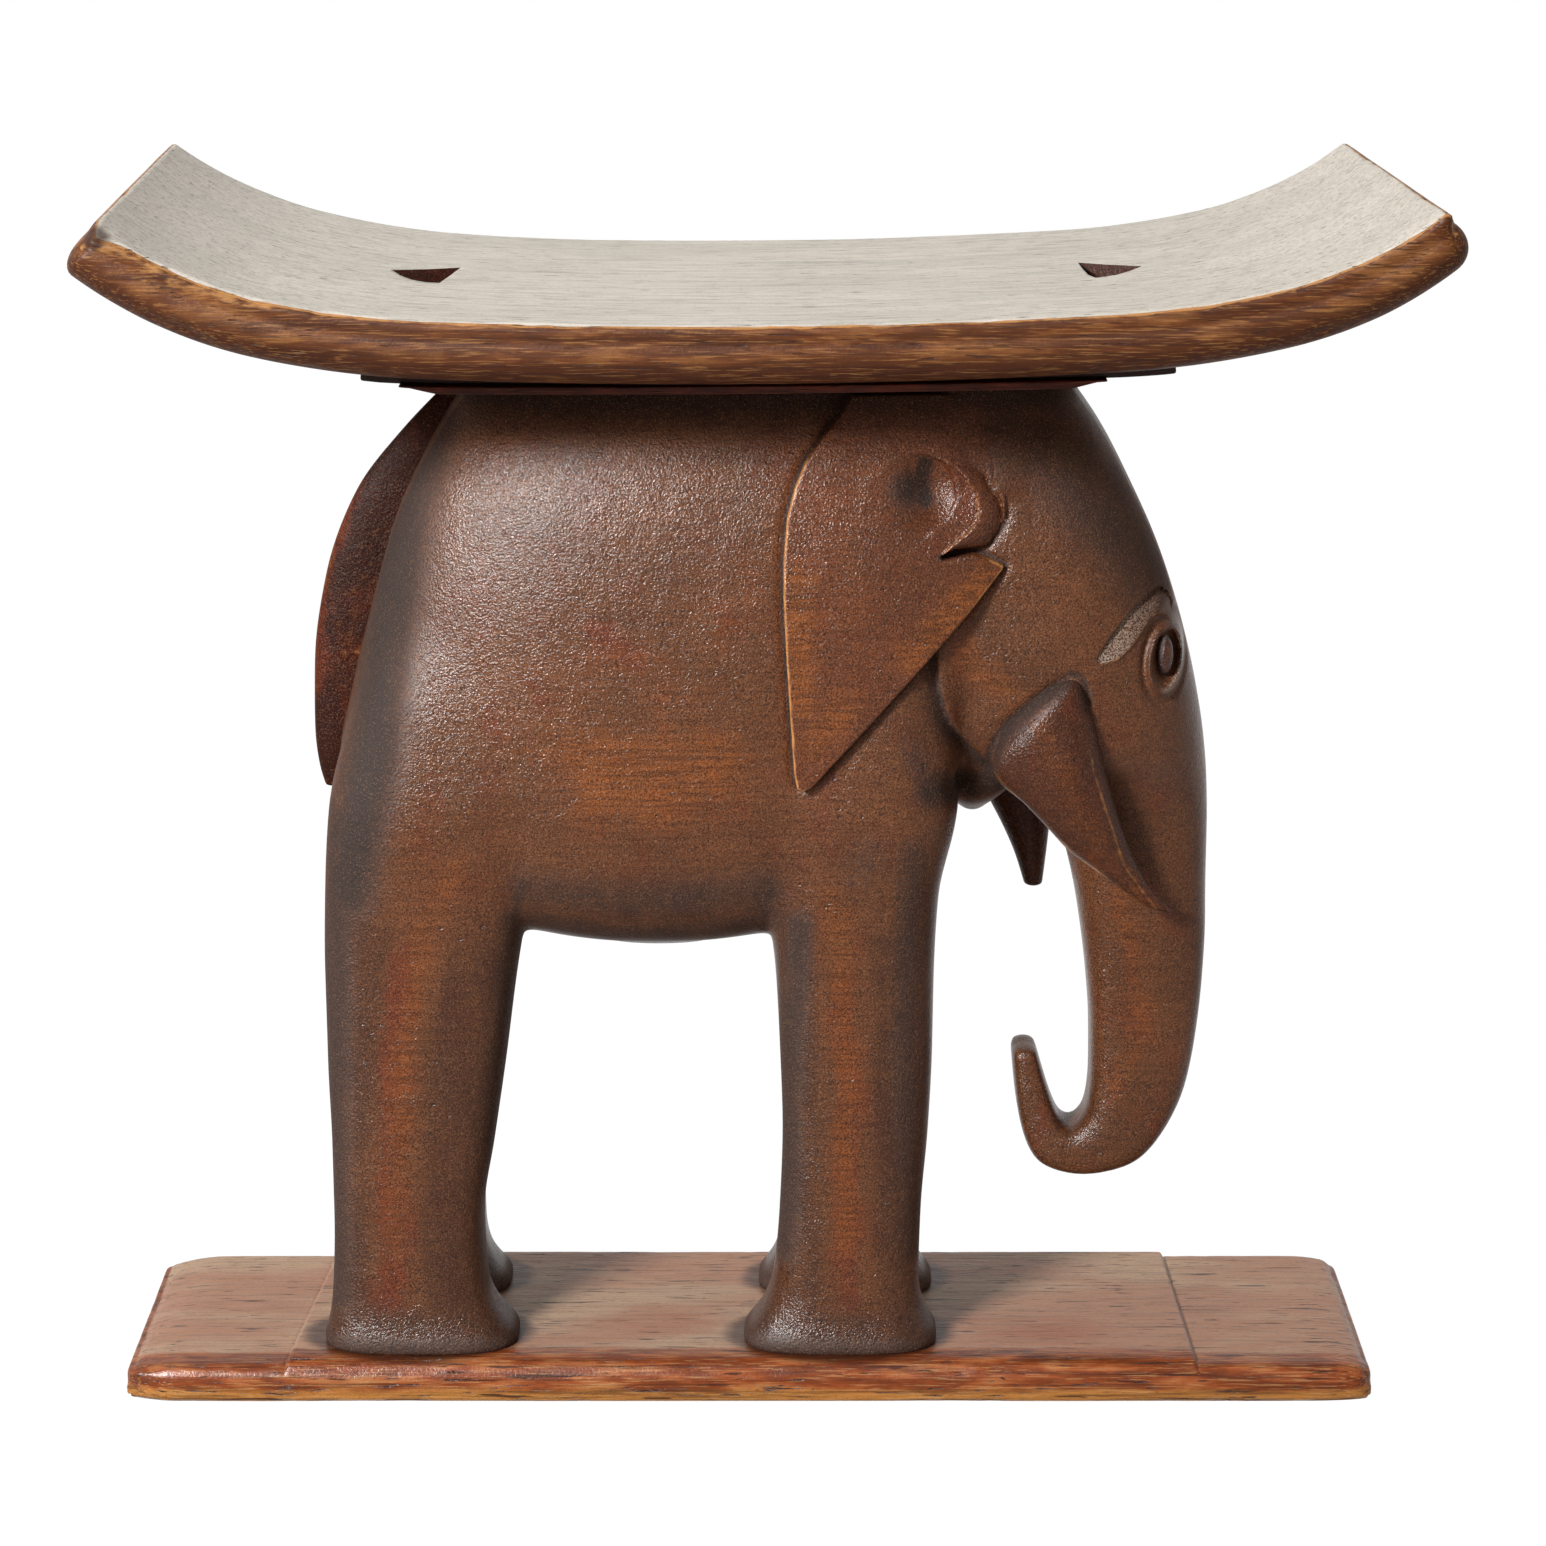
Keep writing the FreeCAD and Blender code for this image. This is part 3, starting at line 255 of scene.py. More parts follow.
TUSK_ROOT = [
    (91.6, 268.0), (92.6, 274.4), (95.0, 281.4), (100.0, 288.9), (108.1, 296.5), (118.0, 304.4),
    (124.5, 308.6), (128.6, 307.2), (130.5, 303.0), (132.0, 296.0),
]
EYE_MIDDLE = (163.6, 311.6)
EYE_HALF = (7.0, 12.6)
EYE_LEAN = 0.06
EYE_SIZE = 9 * MM
BROW_WIDTH = 8 * MM

# Worn and dark places on the elephant, the dark ones partly painted shade: a line, the width of its fading,
# and how strong it is

WORN_LINES = [
    ([(-74, 276), (-16, 274)], 17, 0.85),
    ([(-66, 262), (-30, 260)], 14, 0.80),
    ([(-66, 318), (-38, 318)], 9, 0.45),
    ([(-72, 300), (-20, 302)], 9, 0.35),
    ([(-20, 325), (-4, 352)], 10, 0.30),
    ([(-124, 230), (-130, 212)], 6, 0.50),
    ([(-136, 205), (-146, 150), (-151, 92)], 7, 0.65),
    ([(-151, 130), (-153, 60)], 6, 0.55),
    ([(30, 222), (35, 150), (35, 66)], 7, 0.70),
    ([(22, 200), (26, 160)], 5, 0.35),
    ([(149, 222), (152, 190)], 9, 0.60),
    ([(158, 190), (160, 150), (150, 120)], 9, 0.50),
    ([(84, 316), (98, 302)], 10, 0.60),
    ([(96, 334), (106, 322)], 12, 0.35),
]
LEG_BANDS = [
    [(-125, 250), (-136, 210), (-146, 160), (-151, 100), (-153, 40)],
    [(28, 250), (33, 190), (36, 110), (36, 40)],
]
RED_LINES = [
    ([(-66, 330), (-50, 318)], 9, 0.85),
    ([(-90, 308), (-86, 298)], 7, 0.70),
    ([(-20, 340), (-12, 330)], 6, 0.55),
    ([(-106, 200), (-108, 180)], 5, 0.40),
    ([(44, 200), (46, 170)], 6, 0.35),
    ([(-146, 190), (-152, 120), (-154, 40)], 9, 0.90),
    ([(34, 180), (36, 110), (36, 40)], 8, 0.90),
    ([(-112, 300), (-100, 250)], 7, 0.45),
    ([(150, 200), (158, 150), (150, 118)], 9, 0.50),
    ([(118, 262), (140, 232)], 7, 0.70),
    ([(164, 250), (160, 210)], 8, 0.45),
    ([(120, 110), (142, 108)], 7, 0.55),
    ([(62, 330), (52, 312)], 8, 0.50),
]
# Dark lines: partly dark stain, partly painted shade on leg and head sides turned from the light, under the
# belly, in creases and at the feet, and the seat's painted shadow on the rump and the head's top
STAIN_AND_SHADE_LINES = [
    ([(-130, 415), (-143, 372), (-151, 324), (-157, 275), (-168, 220)], 15, 1.00),
    ([(-172, 250), (-176, 130), (-178, 40)], 9, 0.85),
    ([(-100, 205), (-106, 150), (-112, 90), (-110, 45)], 8, 0.85),
    ([(16, 205), (12, 150), (10, 60)], 7, 0.85),
    ([(62, 236), (60, 150), (64, 60)], 9, 0.70),
    ([(44, 238), (40, 226)], 12, 0.45),
    ([(96, 408), (118, 398), (138, 372), (158, 345)], 24, 0.75),
    ([(140, 350), (168, 290), (176, 240), (178, 170)], 12, 0.35),
    ([(-100, 206), (-60, 198), (-20, 198), (4, 206)], 9, 0.70),
    ([(-94, 220), (-50, 214), (0, 220)], 14, 0.66),
    ([(-97, 222), (-101, 200)], 4, 0.80),
    ([(4, 222), (1, 200)], 4, 0.80),
    ([(70, 262), (86, 257), (96, 260)], 10, 1.00),
    ([(60, 280), (70, 262)], 8, 0.60),
    ([(-184, 20), (-100, 20)], 5, 0.70),
    ([(-14, 20), (72, 20)], 5, 0.70),
]

# Small tools on arrays


def smooth_step(low, high, amount):
    share = np.clip((amount - low) / (high - low), 0, 1)
    return share * share * (3 - 2 * share)


def lattice(points, size, seed):
    """Soft seeded noise from -1 to 1, with features of the given size."""
    table = np.random.default_rng(seed).uniform(-1, 1, (32, 32, 32)).astype(np.float32)
    places = np.asarray(points, np.float64) / size
    cell = np.floor(places).astype(int)
    part = places - cell
    part = part * part * (3 - 2 * part)
    total = 0
    for corner in range(8):
        step = np.array([corner & 1, corner >> 1 & 1, corner >> 2 & 1])
        weight = np.prod(np.where(step, part, 1 - part), axis=-1)
        index = (cell + step) % 32
        total = total + weight * table[index[..., 0], index[..., 1], index[..., 2]]
    return total


def line_distance(line, x, z):
    """Distance from a line of points, in metres, and which side of it a place is on."""
    nearest = np.full(np.shape(x), np.inf)
    side = np.zeros(np.shape(x))
    points = [(along * MM, up * MM) for along, up in line]
    for (ax, az), (bx, bz) in zip(points, points[1:]):
        dx, dz = bx - ax, bz - az
        share = np.clip(((x - ax) * dx + (z - az) * dz) / (dx * dx + dz * dz), 0, 1)
        off_x, off_z = x - ax - share * dx, z - az - share * dz
        distance = np.hypot(off_x, off_z)
        closer = distance < nearest
        nearest = np.where(closer, distance, nearest)
        side = np.where(closer, np.sign(dx * off_z - dz * off_x), side)
    return nearest, side


def inside_outline(line, x, z):
    """Whether a place is inside a closed line of points."""
    within = np.zeros(np.shape(x), bool)
    points = [(along * MM, up * MM) for along, up in line]
    for (ax, az), (bx, bz) in zip(points, points[1:] + points[:1]):
        if az == bz:
            continue
        crosses = (az > z) != (bz > z)
        within ^= crosses & (x < ax + (z - az) * (bx - ax) / (bz - az))
    return within


def outline_distance(line, x, z):
    """Distance from a closed line of points, negative inside it."""
    distance = line_distance(line + line[:1], x, z)[0]
    return np.where(inside_outline(line, x, z), -distance, distance)


def bell(distance, width):
    """1 where a distance is zero, and fading to 0 over a width in millimetres."""
    return np.exp(-(distance / (width * MM)) ** 2)


def spot(x, z, middle, reach):
    """Soft oval spot on a plane, its middle and its reach in millimetres."""
    return bell(x - middle[0] * MM, reach[0]) * bell(z - middle[1] * MM, reach[1])


def marks(lines, x, z):
    """Strength of a set of soft marks at each place."""
    total = np.zeros(np.shape(x))
    for line, width, strength in lines:
        total = np.maximum(total, strength * bell(line_distance(line, x, z)[0], width))
    return total


# The seat's bend


def bend_arcs():
    centre, shoulder, tip = BEND_RADII
    first = BEND_TURNS[0]
    second = first + BEND_TURNS[1]
    shoulder_x = (centre - shoulder) * math.sin(first)
    shoulder_z = centre - (centre - shoulder) * math.cos(first)
    tip_x = shoulder_x + (shoulder - tip) * math.sin(second)
    tip_z = shoulder_z - (shoulder - tip) * math.cos(second)
    return [(0, centre, centre, 0, first), (shoulder_x, shoulder_z, shoulder, first, second),
            (tip_x, tip_z, tip, second, math.pi / 2)]


def bend_height(x, depth):
    """Height above the floor of the bend at a depth below the seat's top, over a place x."""
    local = np.asarray(x) - SEAT_SHIFT
    reach = np.abs(local)
    height = np.zeros(np.shape(x))
    for middle_x, middle_z, radius, first, _ in bend_arcs():
        low = middle_x + (radius + depth) * math.sin(first)
        turn = np.arcsin(np.clip((reach - middle_x) / (radius + depth), 0, 1))
        arc = middle_z - (radius + depth) * np.cos(turn)
        height = np.where(reach >= low, arc, height)
    return SEAT_TOP + height + local * math.sin(SEAT_TILT)


def bend_place(points):
    """Place in the row's frame of points along the bend: run from its middle, across, above its top."""
    run, across, above = points[:, 0], points[:, 1], points[:, 2]
    reach = np.abs(run)
    x = np.zeros(len(points))
    z = np.zeros(len(points))
    start = 0.0
    for middle_x, middle_z, radius, first, last in bend_arcs():
        turn = first + (reach - start) / radius
        here = reach >= start
        x = np.where(here, middle_x + (radius - above) * np.sin(turn), x)
        z = np.where(here, middle_z - (radius - above) * np.cos(turn), z)
        start += radius * (last - first)
    x = np.sign(run) * x
    turned_x = x * math.cos(SEAT_TILT) - z * math.sin(SEAT_TILT)
    turned_z = x * math.sin(SEAT_TILT) + z * math.cos(SEAT_TILT)
    return np.column_stack([turned_x + SEAT_SHIFT, across, turned_z + SEAT_TOP])


def plate_sag(x):
    """Drop of the plate's lower side below the bend, which grows towards its ends."""
    return PLATE_SAG * np.minimum(np.abs(x - SEAT_SHIFT) / PLATE_REACH, 1) ** 2


# Forms through rings

RING_SPACING = 2.2 * MM
LENS_ACROSS = 2.3
FAR = 30 * MM


def fill_between(rings):
    """Rings every few millimetres along a form, as rows of numbers in metres."""
    rows = np.array([[stand_x(rear[0]), stand_z(rear[1]), stand_x(front[0]), stand_z(front[1]),
                      stand_y(middle), stand_y(half_width), squareness]
                     for rear, front, middle, half_width, squareness in rings])
    centres = (rows[:, 0:2] + rows[:, 2:4]) / 2
    steps = np.linalg.norm(np.diff(centres, axis=0), axis=1)
    knots = np.concatenate([[0], np.cumsum(steps)])
    slopes = np.diff(rows, axis=0) / steps[:, None]
    tangents = np.zeros_like(rows)
    tangents[0] = slopes[0]
    tangents[-1] = slopes[-1]
    before, after = steps[:-1, None], steps[1:, None]
    same_way = slopes[:-1] * slopes[1:] > 0
    with np.errstate(divide="ignore", invalid="ignore"):
        heavy = 2 * after + before
        light = after + 2 * before
        mean = (heavy + light) / (heavy / slopes[:-1] + light / slopes[1:])
    tangents[1:-1] = np.where(same_way, mean, 0)
    count = max(8, int(knots[-1] / RING_SPACING))
    places = np.linspace(0, knots[-1], count)
    span = np.clip(np.searchsorted(knots, places, side="right") - 1, 0, len(steps) - 1)
    width = steps[span][:, None]
    share = ((places - knots[span]) / steps[span])[:, None]
    dense = ((2 * share ** 3 - 3 * share ** 2 + 1) * rows[span]
             + (share ** 3 - 2 * share ** 2 + share) * width * tangents[span]
             + (3 * share ** 2 - 2 * share ** 3) * rows[span + 1]
             + (share ** 3 - share ** 2) * width * tangents[span + 1])
    for _ in range(3):
        dense[1:-1] = (dense[:-2] + 2 * dense[1:-1] + dense[2:]) / 4
    return dense


def form_box(rings, side, margin):
    """Lowest and highest places of a form through rings, with a margin round it."""
    dense = fill_between(rings)
    low = (dense[:, [0, 2]].min(), (side * dense[:, 4] - dense[:, 5]).min(), dense[:, [1, 3]].min())
    high = (dense[:, [0, 2]].max(), (side * dense[:, 4] + dense[:, 5]).max(), dense[:, [1, 3]].max())
    return np.array(low) - margin, np.array(high) + margin


def trace(rings, x, z):
    """The ring through each place of the plane of X and Z.

    The result is the place's way along the ring, the ring's half length, its middle across, its
    half width, its squareness, and how far the place lies past the form's ends.
    """
    dense = fill_between(rings)
    middle = (dense[:, 0:2] + dense[:, 2:4]) / 2
    along = dense[:, 2:4] - dense[:, 0:2]
    half = np.linalg.norm(along, axis=1) / 2
    along = along / (2 * half[:, None])
    ahead = np.column_stack([along[:, 1], -along[:, 0]])
    if np.dot(ahead[0], middle[1] - middle[0]) < 0:
        ahead = -ahead
    columns = np.column_stack([middle, along, half, dense[:, 4:7]])
    best = np.full(x.shape, np.inf)
    chosen = np.zeros(x.shape + (6,))

    def offer(values, passed, where):
        t = (x - values[0]) * values[2] + (z - values[1]) * values[3]
        beyond = np.hypot(np.maximum(np.abs(t) - values[4], 0), passed)
        measure = np.where(passed > 0, beyond, np.abs(t) - values[4])
        take = where & (measure < best)
        best[take] = measure[take]
        for number, amount in enumerate([t, *values[4:], passed]):
            chosen[..., number][take] = np.broadcast_to(amount, x.shape)[take]

    ways = [(x - place[0]) * way[0] + (z - place[1]) * way[1] for place, way in zip(middle, ahead)]
    for n, (here, there) in enumerate(zip(ways, ways[1:])):
        between = (here >= 0) & (there < 0)
        if between.any():
            share = np.where(between, here / np.where(between, here - there, 1), 0)
            values = [one + share * (two - one) for one, two in zip(columns[n], columns[n + 1])]
            offer(values, np.zeros(x.shape), between)
    offer(columns[0], np.maximum(-ways[0], 0), ways[0] < 0)
    offer(columns[-1], np.maximum(ways[-1], 0), ways[-1] >= 0)
    return [chosen[..., number] for number in range(6)]


def ringed(rings, x, y, z, side=1, lens=0.0):
    """Distance from a form through rings, at a block of places.

    lens sharpens the form's rear and front edges, as on a carved tusk.
    """
    plane_x, plane_z = np.meshgrid(x, z, indexing="ij")
    t, half, middle, width, power, passed = trace(rings, plane_x, plane_z)
    missed = half == 0
    half, width, power = (np.where(missed, other, given)
                          for other, given in ((1, half), (1, width), (2, power)))
    passed = np.where(missed, FAR, passed)
    t, half, width, power, passed = (part.astype(np.float32)[:, None, :]
                                     for part in (np.abs(t), half, width, power, passed))
    across = np.abs(y.astype(np.float32)[None, :, None] - (side * middle).astype(np.float32)[:, None, :])
    a = np.maximum(t / half, 1e-4)
    b = np.maximum(across / width, 1e-4)
    if lens:
        first, second = np.float32(lens), np.float32(LENS_ACROSS)
        rise_a, rise_b = a ** first, b ** second
        slope = np.hypot(first * rise_a / a / half, second * rise_b / b / width)
        distance = (rise_a + rise_b - 1) / np.maximum(slope, 1)
    else:
        rise_a = a ** power
        rise_b = b ** power
        total = rise_a + rise_b
        r = total ** (1 / power)
        slope = np.hypot(rise_a / a / half, rise_b / b / width) * r / total
        distance = (r - 1) / slope
    return np.where(passed > 0, np.hypot(np.maximum(distance, 0), passed), distance)


def soft_union(old, new, soft):
    """Distance from two forms together, with a soft hollow of the given size between them."""
    if not soft:
        return np.minimum(old, new)
    share = np.clip(0.5 + 0.5 * (old - new) / soft, 0, 1)
    return old + share * (new - old) - soft * share * (1 - share)


class Field:
    """Distances from a piece's surface on a block of places, negative inside."""

    def __init__(self, low, high, step):
        self.low = np.array(low, float)
        self.step = step
        counts = np.ceil((np.array(high) - self.low) / step).astype(int) + 1
        self.axes = [self.low[n] + step * np.arange(counts[n]) for n in range(3)]
        self.distance = np.full(counts, FAR, np.float32)

    def add(self, rings, side=1, soft=0.0, lens=0.0):
        """Join a form through rings, with a soft hollow of the given size where it meets the rest."""
        low, high = form_box(rings, side, FAR / 2)
        spans = [slice(int(np.searchsorted(axis, low[n])), int(np.searchsorted(axis, high[n])))
                 for n, axis in enumerate(self.axes)]
        block = [axis[span] for axis, span in zip(self.axes, spans)]
        if min(len(axis) for axis in block) == 0:
            return
        new = ringed(rings, *block, side=side, lens=lens)
        old = self.distance[tuple(spans)]
        self.distance[tuple(spans)] = soft_union(old, new, soft)

    def soften(self, size):
        """Blur the field a little, which rounds ridges and hollows smaller than size."""
        for _ in range(int(round(2 * (size / self.step) ** 2))):
            for axis in range(3):
                field = np.moveaxis(self.distance, axis, 0)
                field[1:-1] = (field[:-2] + 2 * field[1:-1] + field[2:]) / 4

    def plane(self):
        """X and Z of the block's places, seen from the side."""
        return np.meshgrid(self.axes[0], self.axes[2], indexing="ij")

    def sample(self, points):
        """Distance at any places."""
        spots = (points - self.low) / self.step
        top = np.array(self.distance.shape) - 1.001
        spots = np.clip(spots, 0, top)
        cell = spots.astype(int)
        part = spots - cell
        total = np.zeros(len(points))
        for corner in range(8):
            step = np.array([corner & 1, corner >> 1 & 1, corner >> 2 & 1])
            weight = np.prod(np.where(step, part, 1 - part), axis=1)
            index = cell + step
            total += weight * self.distance[index[:, 0], index[:, 1], index[:, 2]]
        return total

    def settle(self, points, rounds=3):
        """Move points onto the surface."""
        points = points.copy()
        for _ in range(rounds):
            here = self.sample(points)
            slope = np.zeros_like(points)
            for axis in range(3):
                reach = np.zeros(3)
                reach[axis] = self.step / 2
                slope[:, axis] = (self.sample(points + reach) - self.sample(points - reach)) / self.step
            size = np.maximum((slope ** 2).sum(axis=1), 0.05)
            move = -(here / size)[:, None] * slope
            length = np.linalg.norm(move, axis=1, keepdims=True)
            move *= np.minimum(1, 0.7 * self.step / np.maximum(length, 1e-9))
            points += move
        return points

    def skin(self):
        """Vertices and four-sided faces of the surface."""
        inner = self.distance < 0
        corners = [(i, j, k) for i in (0, 1) for j in (0, 1) for k in (0, 1)]
        shape = tuple(n - 1 for n in inner.shape)
        count = np.zeros(shape, np.int8)
        for i, j, k in corners:
            count += inner[i:i + shape[0], j:j + shape[1], k:k + shape[2]]
        cells = np.argwhere((count > 0) & (count < 8))
        number = np.full(shape, -1, np.int32)
        number[tuple(cells.T)] = np.arange(len(cells))
        total = np.zeros((len(cells), 3))
        hits = np.zeros(len(cells))
        values = {corner: self.distance[tuple((cells + corner).T)] for corner in corners}
        for first in corners:
            for axis in range(3):
                if first[axis] == 0:
                    second = tuple(1 if n == axis else first[n] for n in range(3))
                    one, two = values[first], values[second]
                    crossed = (one < 0) != (two < 0)
                    share = np.where(crossed, one / np.where(crossed, one - two, 1), 0)
                    hit = np.tile(np.array(first, float), (len(cells), 1))
                    hit[:, axis] += share
                    total[crossed] += hit[crossed]
                    hits += crossed
        points = self.low + self.step * (cells + total / hits[:, None])
        faces = []
        for axis in range(3):
            near = np.moveaxis(inner, axis, 0)
            crossed = near[:-1] != near[1:]
            edges = np.argwhere(crossed)
            places = np.zeros_like(edges)
            others = [n for n in range(3) if n != axis]
            places[:, axis] = edges[:, 0]
            places[:, others[0]] = edges[:, 1]
            places[:, others[1]] = edges[:, 2]
            leaving = inner[tuple(places.T)]
            around = []
            for one, two in ((0, 0), (1, 0), (1, 1), (0, 1)):
                cell = places.copy()
                cell[:, others[0]] -= one
                cell[:, others[1]] -= two
                around.append(number[tuple(cell.T)])
            around = np.stack(around, axis=1)
            flip = leaving if axis == 1 else ~leaving
            around[flip] = around[flip][:, ::-1]
            faces.append(around)
        return points, np.concatenate(faces)


# Objects


def new_piece(name, points, faces, material, replaced):
    """Smooth mesh that stands for some of the CAD nodes."""
    mesh = bpy.data.meshes.new(name)
    mesh.from_pydata(np.asarray(points).tolist(), [], np.asarray(faces).tolist())
    mesh.update()
    mesh.shade_smooth()
    mesh.materials.append(material)
    piece = bpy.data.objects.new(name, mesh)
    bpy.context.scene.collection.objects.link(piece)
    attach(piece, "root")
    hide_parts(*replaced)
    return piece


def vertices(piece):
    flat = np.zeros(len(piece.data.vertices) * 3, np.float32)
    piece.data.vertices.foreach_get("co", flat)
    return flat.reshape(-1, 3).astype(float)


def move_vertices(piece, points):
    piece.data.vertices.foreach_set("co", np.asarray(points, np.float32).ravel())
    piece.data.update()


def mark(piece, name, amounts):
    """Store an amount from 0 to 1 at each vertex, for the material."""
    layer = piece.data.attributes.new(name, "FLOAT", "POINT")
    layer.data.foreach_set("value", np.clip(amounts, 0, 1).astype(np.float32))


def apply_modifiers(piece):
    bpy.context.view_layer.update()
    graph = bpy.context.evaluated_depsgraph_get()
    mesh = bpy.data.meshes.new_from_object(piece.evaluated_get(graph))
    piece.modifiers.clear()
    old = piece.data
    piece.data = mesh
    bpy.data.meshes.remove(old)
    mesh.name = piece.name


def thin_out(piece, most):
    """Reduce a mesh to at most that many triangles."""
    triangles = 2 * len(piece.data.polygons)
    if triangles > most:
        fewer = piece.modifiers.new("fewer", "DECIMATE")
        fewer.ratio = most / triangles
        apply_modifiers(piece)
        piece.data.shade_smooth()


# Materials


def put(tree, socket, value):
    """Give an input a value, or link it to another node's output."""
    if isinstance(value, bpy.types.NodeSocket):
        tree.links.new(value, socket)
    else:
        socket.default_value = value


def add_node(tree, kind, values, **settings):
    """Outputs of a new node with these values, or other nodes' outputs, at its inputs."""
    node = tree.nodes.new("ShaderNode" + kind)
    for name, setting in settings.items():
        setattr(node, name, setting)
    for name, value in values.items():
        put(tree, node.inputs[name], value)
    return node.outputs


class Surface:
    """Node material with a principled shader."""

    def __init__(self, name):
        self.material = bpy.data.materials.new(name)
        self.material.use_nodes = True
        self.tree = self.material.node_tree
        self.shader = self.tree.nodes["Principled BSDF"]
        self.place = self.node("TexCoord", {})["Object"]

    def set(self, **values):
        for name, value in values.items():
            put(self.tree, self.shader.inputs[name.replace("_", " ").title().replace("Ior", "IOR")], value)

    def node(self, kind, values, **settings):
        return add_node(self.tree, kind, values, **settings)

    def noise(self, scales, detail, roughness, warp=0.0):
        vector = self.node("Mapping", {"Vector": self.place, "Scale": scales})["Vector"]
        return self.node("TexNoise", {"Vector": vector, "Scale": 1.0, "Detail": detail,
                                      "Roughness": roughness, "Distortion": warp})["Fac"]

    def attribute(self, name):
        return self.node("Attribute", {}, attribute_name=name)["Fac"]

    def math(self, operation, first, second):
        return self.node("Math", {0: first, 1: second}, operation=operation)[0]

    def fade(self, value, low, high, out_low=0.0, out_high=1.0):
        """The amount as it goes from low to high, made smooth and kept between two outputs."""
        return self.node("MapRange", {"Value": value, "From Min": low, "From Max": high, "To Min": out_low,
                                      "To Max": out_high}, interpolation_type="SMOOTHSTEP")["Result"]

    def uneven(self, amount, *noises):
        """The amount with noises added, each with its strength."""
        for noise, strength in noises:
            amount = self.math("ADD", amount,
                               self.math("MULTIPLY", self.math("SUBTRACT", noise, 0.5), strength))
        return amount

    def blend(self, amount, first, second):
        return self.node("Mix", {0: amount, 6: first, 7: second},
                         data_type="RGBA", blend_type="MIX", clamp_factor=True)[2]

    def paint(self, base, *layers):
        """Colour under layers: a mask, where it starts and is full, the most it covers, its colour."""
        for mask, low, high, most, paint in layers:
            base = self.blend(self.fade(mask, low, high, 0, most), base, paint)
        return base

    def bumps(self, *layers):
        """Normal from layers of relief: a height, its size in metres, and its strength."""
        values = {}
        for height, size, strength in layers:
            values.update({"Height": height, "Distance": size, "Strength": strength})
            values["Normal"] = self.node("Bump", values)["Normal"]
        return values["Normal"]


def colour(red, green, blue):
    """Colour as a screen shows it, from 0 to 255, for a shader."""
    parts = []
    for part in (red, green, blue):
        part /= 255
        parts.append(part / 12.92 if part <= 0.04045 else ((part + 0.055) / 1.055) ** 2.4)
    return (*parts, 1.0)


def lacquer(name, brown, gloss=0.26, shine=0.16):
    """Old brown lacquer on carved wood, rubbed through to warmer wood in places, with painted shade and
    painted highlights from the vertex marks.
    """
    surface = Surface(name)
    broad = surface.noise((16, 16, 13), 3, 0.55, 0.3)
    smears = surface.noise((70, 70, 34), 4, 0.6, 0.3)
    mottle = surface.noise((240, 240, 240), 3, 0.6)
    fibres = surface.noise((26, 620, 620), 3, 0.6)
    speckle = surface.noise((1000, 1000, 1000), 2, 0.6)
    dust = surface.noise((1700, 1700, 1700), 1, 0.5)
    pores = surface.noise((330, 330, 330), 2, 0.5, 0.5)
    dents = surface.noise((90, 90, 60), 2, 0.5)

    def marked(mark_name, smear, fine):
        return surface.uneven(surface.attribute(mark_name), (smears, smear), (mottle, fine))

    base = surface.paint(
        brown,
        (broad, 0.70, 0.30, 0.30, SOOT_AND_SHADE_BROWN),
        (smears, 0.48, 0.72, 0.40, RED_BROWN),
        (marked("reddened", 1.3, 0.7), 0.30, 1.10, 0.85, RED_BROWN),
    )
    worn = surface.fade(marked("worn", 1.0, 0.6), 0.10, 1.05, 0, 0.9)
    base = surface.blend(worn, base, WARM_BROWN)
    strength = surface.fade(worn, 0, 0.8, 0.22, 0.45)
    streaks = surface.math("MULTIPLY", surface.fade(fibres, 0.42, 0.62), strength)
    base = surface.paint(
        surface.blend(streaks, base, SOOT_AND_SHADE_BROWN),
        # Next layer: dark stain and painted shade from the vertex marks
        (marked("grime_and_shade", 0.6, 0.3), 0.05, 1.05, 0.92, SOOT_AND_SHADE_BROWN),
        (marked("shaded", 0.9, 0.4), 0.05, 1.05, 0.80, SHADED_BROWN),
        (dust, 0.46, 0.66, 0.70, SOOT_AND_SHADE_BROWN),
        (dust, 0.42, 0.30, 0.22, PALE_DUST),
        (pores, 0.70, 0.76, 0.60, SOOT_AND_SHADE_BROWN),
        # Rubbed edges, partly a painted highlight along the brow's lower edge and the tail's edges
        (marked("rubbed_and_highlight", 0.5, 0.9), 0.30, 0.95, 0.90, BARE_EDGE_AND_HIGHLIGHT),
    )
    # Painted highlight: pale grey glints on the brow band and the eye ring
    glint = surface.math("MULTIPLY", surface.attribute("painted_highlight"), surface.fade(dust, 0.58, 0.42, 0, 0.8))
    base = surface.blend(glint, base, HIGHLIGHT_GREY)
    surface.set(base_color=base, coat_weight=0.0, IOR=1.5, specular_ior_level=shine)
    dull = surface.fade(surface.attribute("grime_and_shade"), 0.1, 0.8, 0, 0.5)
    rough = surface.fade(broad, 0.3, 0.7, gloss + 0.03, gloss - 0.03)
    surface.set(roughness=surface.math("ADD", dull, rough))
    surface.set(normal=surface.bumps(
        (speckle, 0.9 * MM, 0.6), (mottle, 0.6 * MM, 0.45),
        (surface.fade(pores, 0.66, 0.78, 1, 0), 0.4 * MM, 0.6),
        (dents, 1.8 * MM, 0.35), (fibres, 0.2 * MM, 0.35)))
    return surface.material


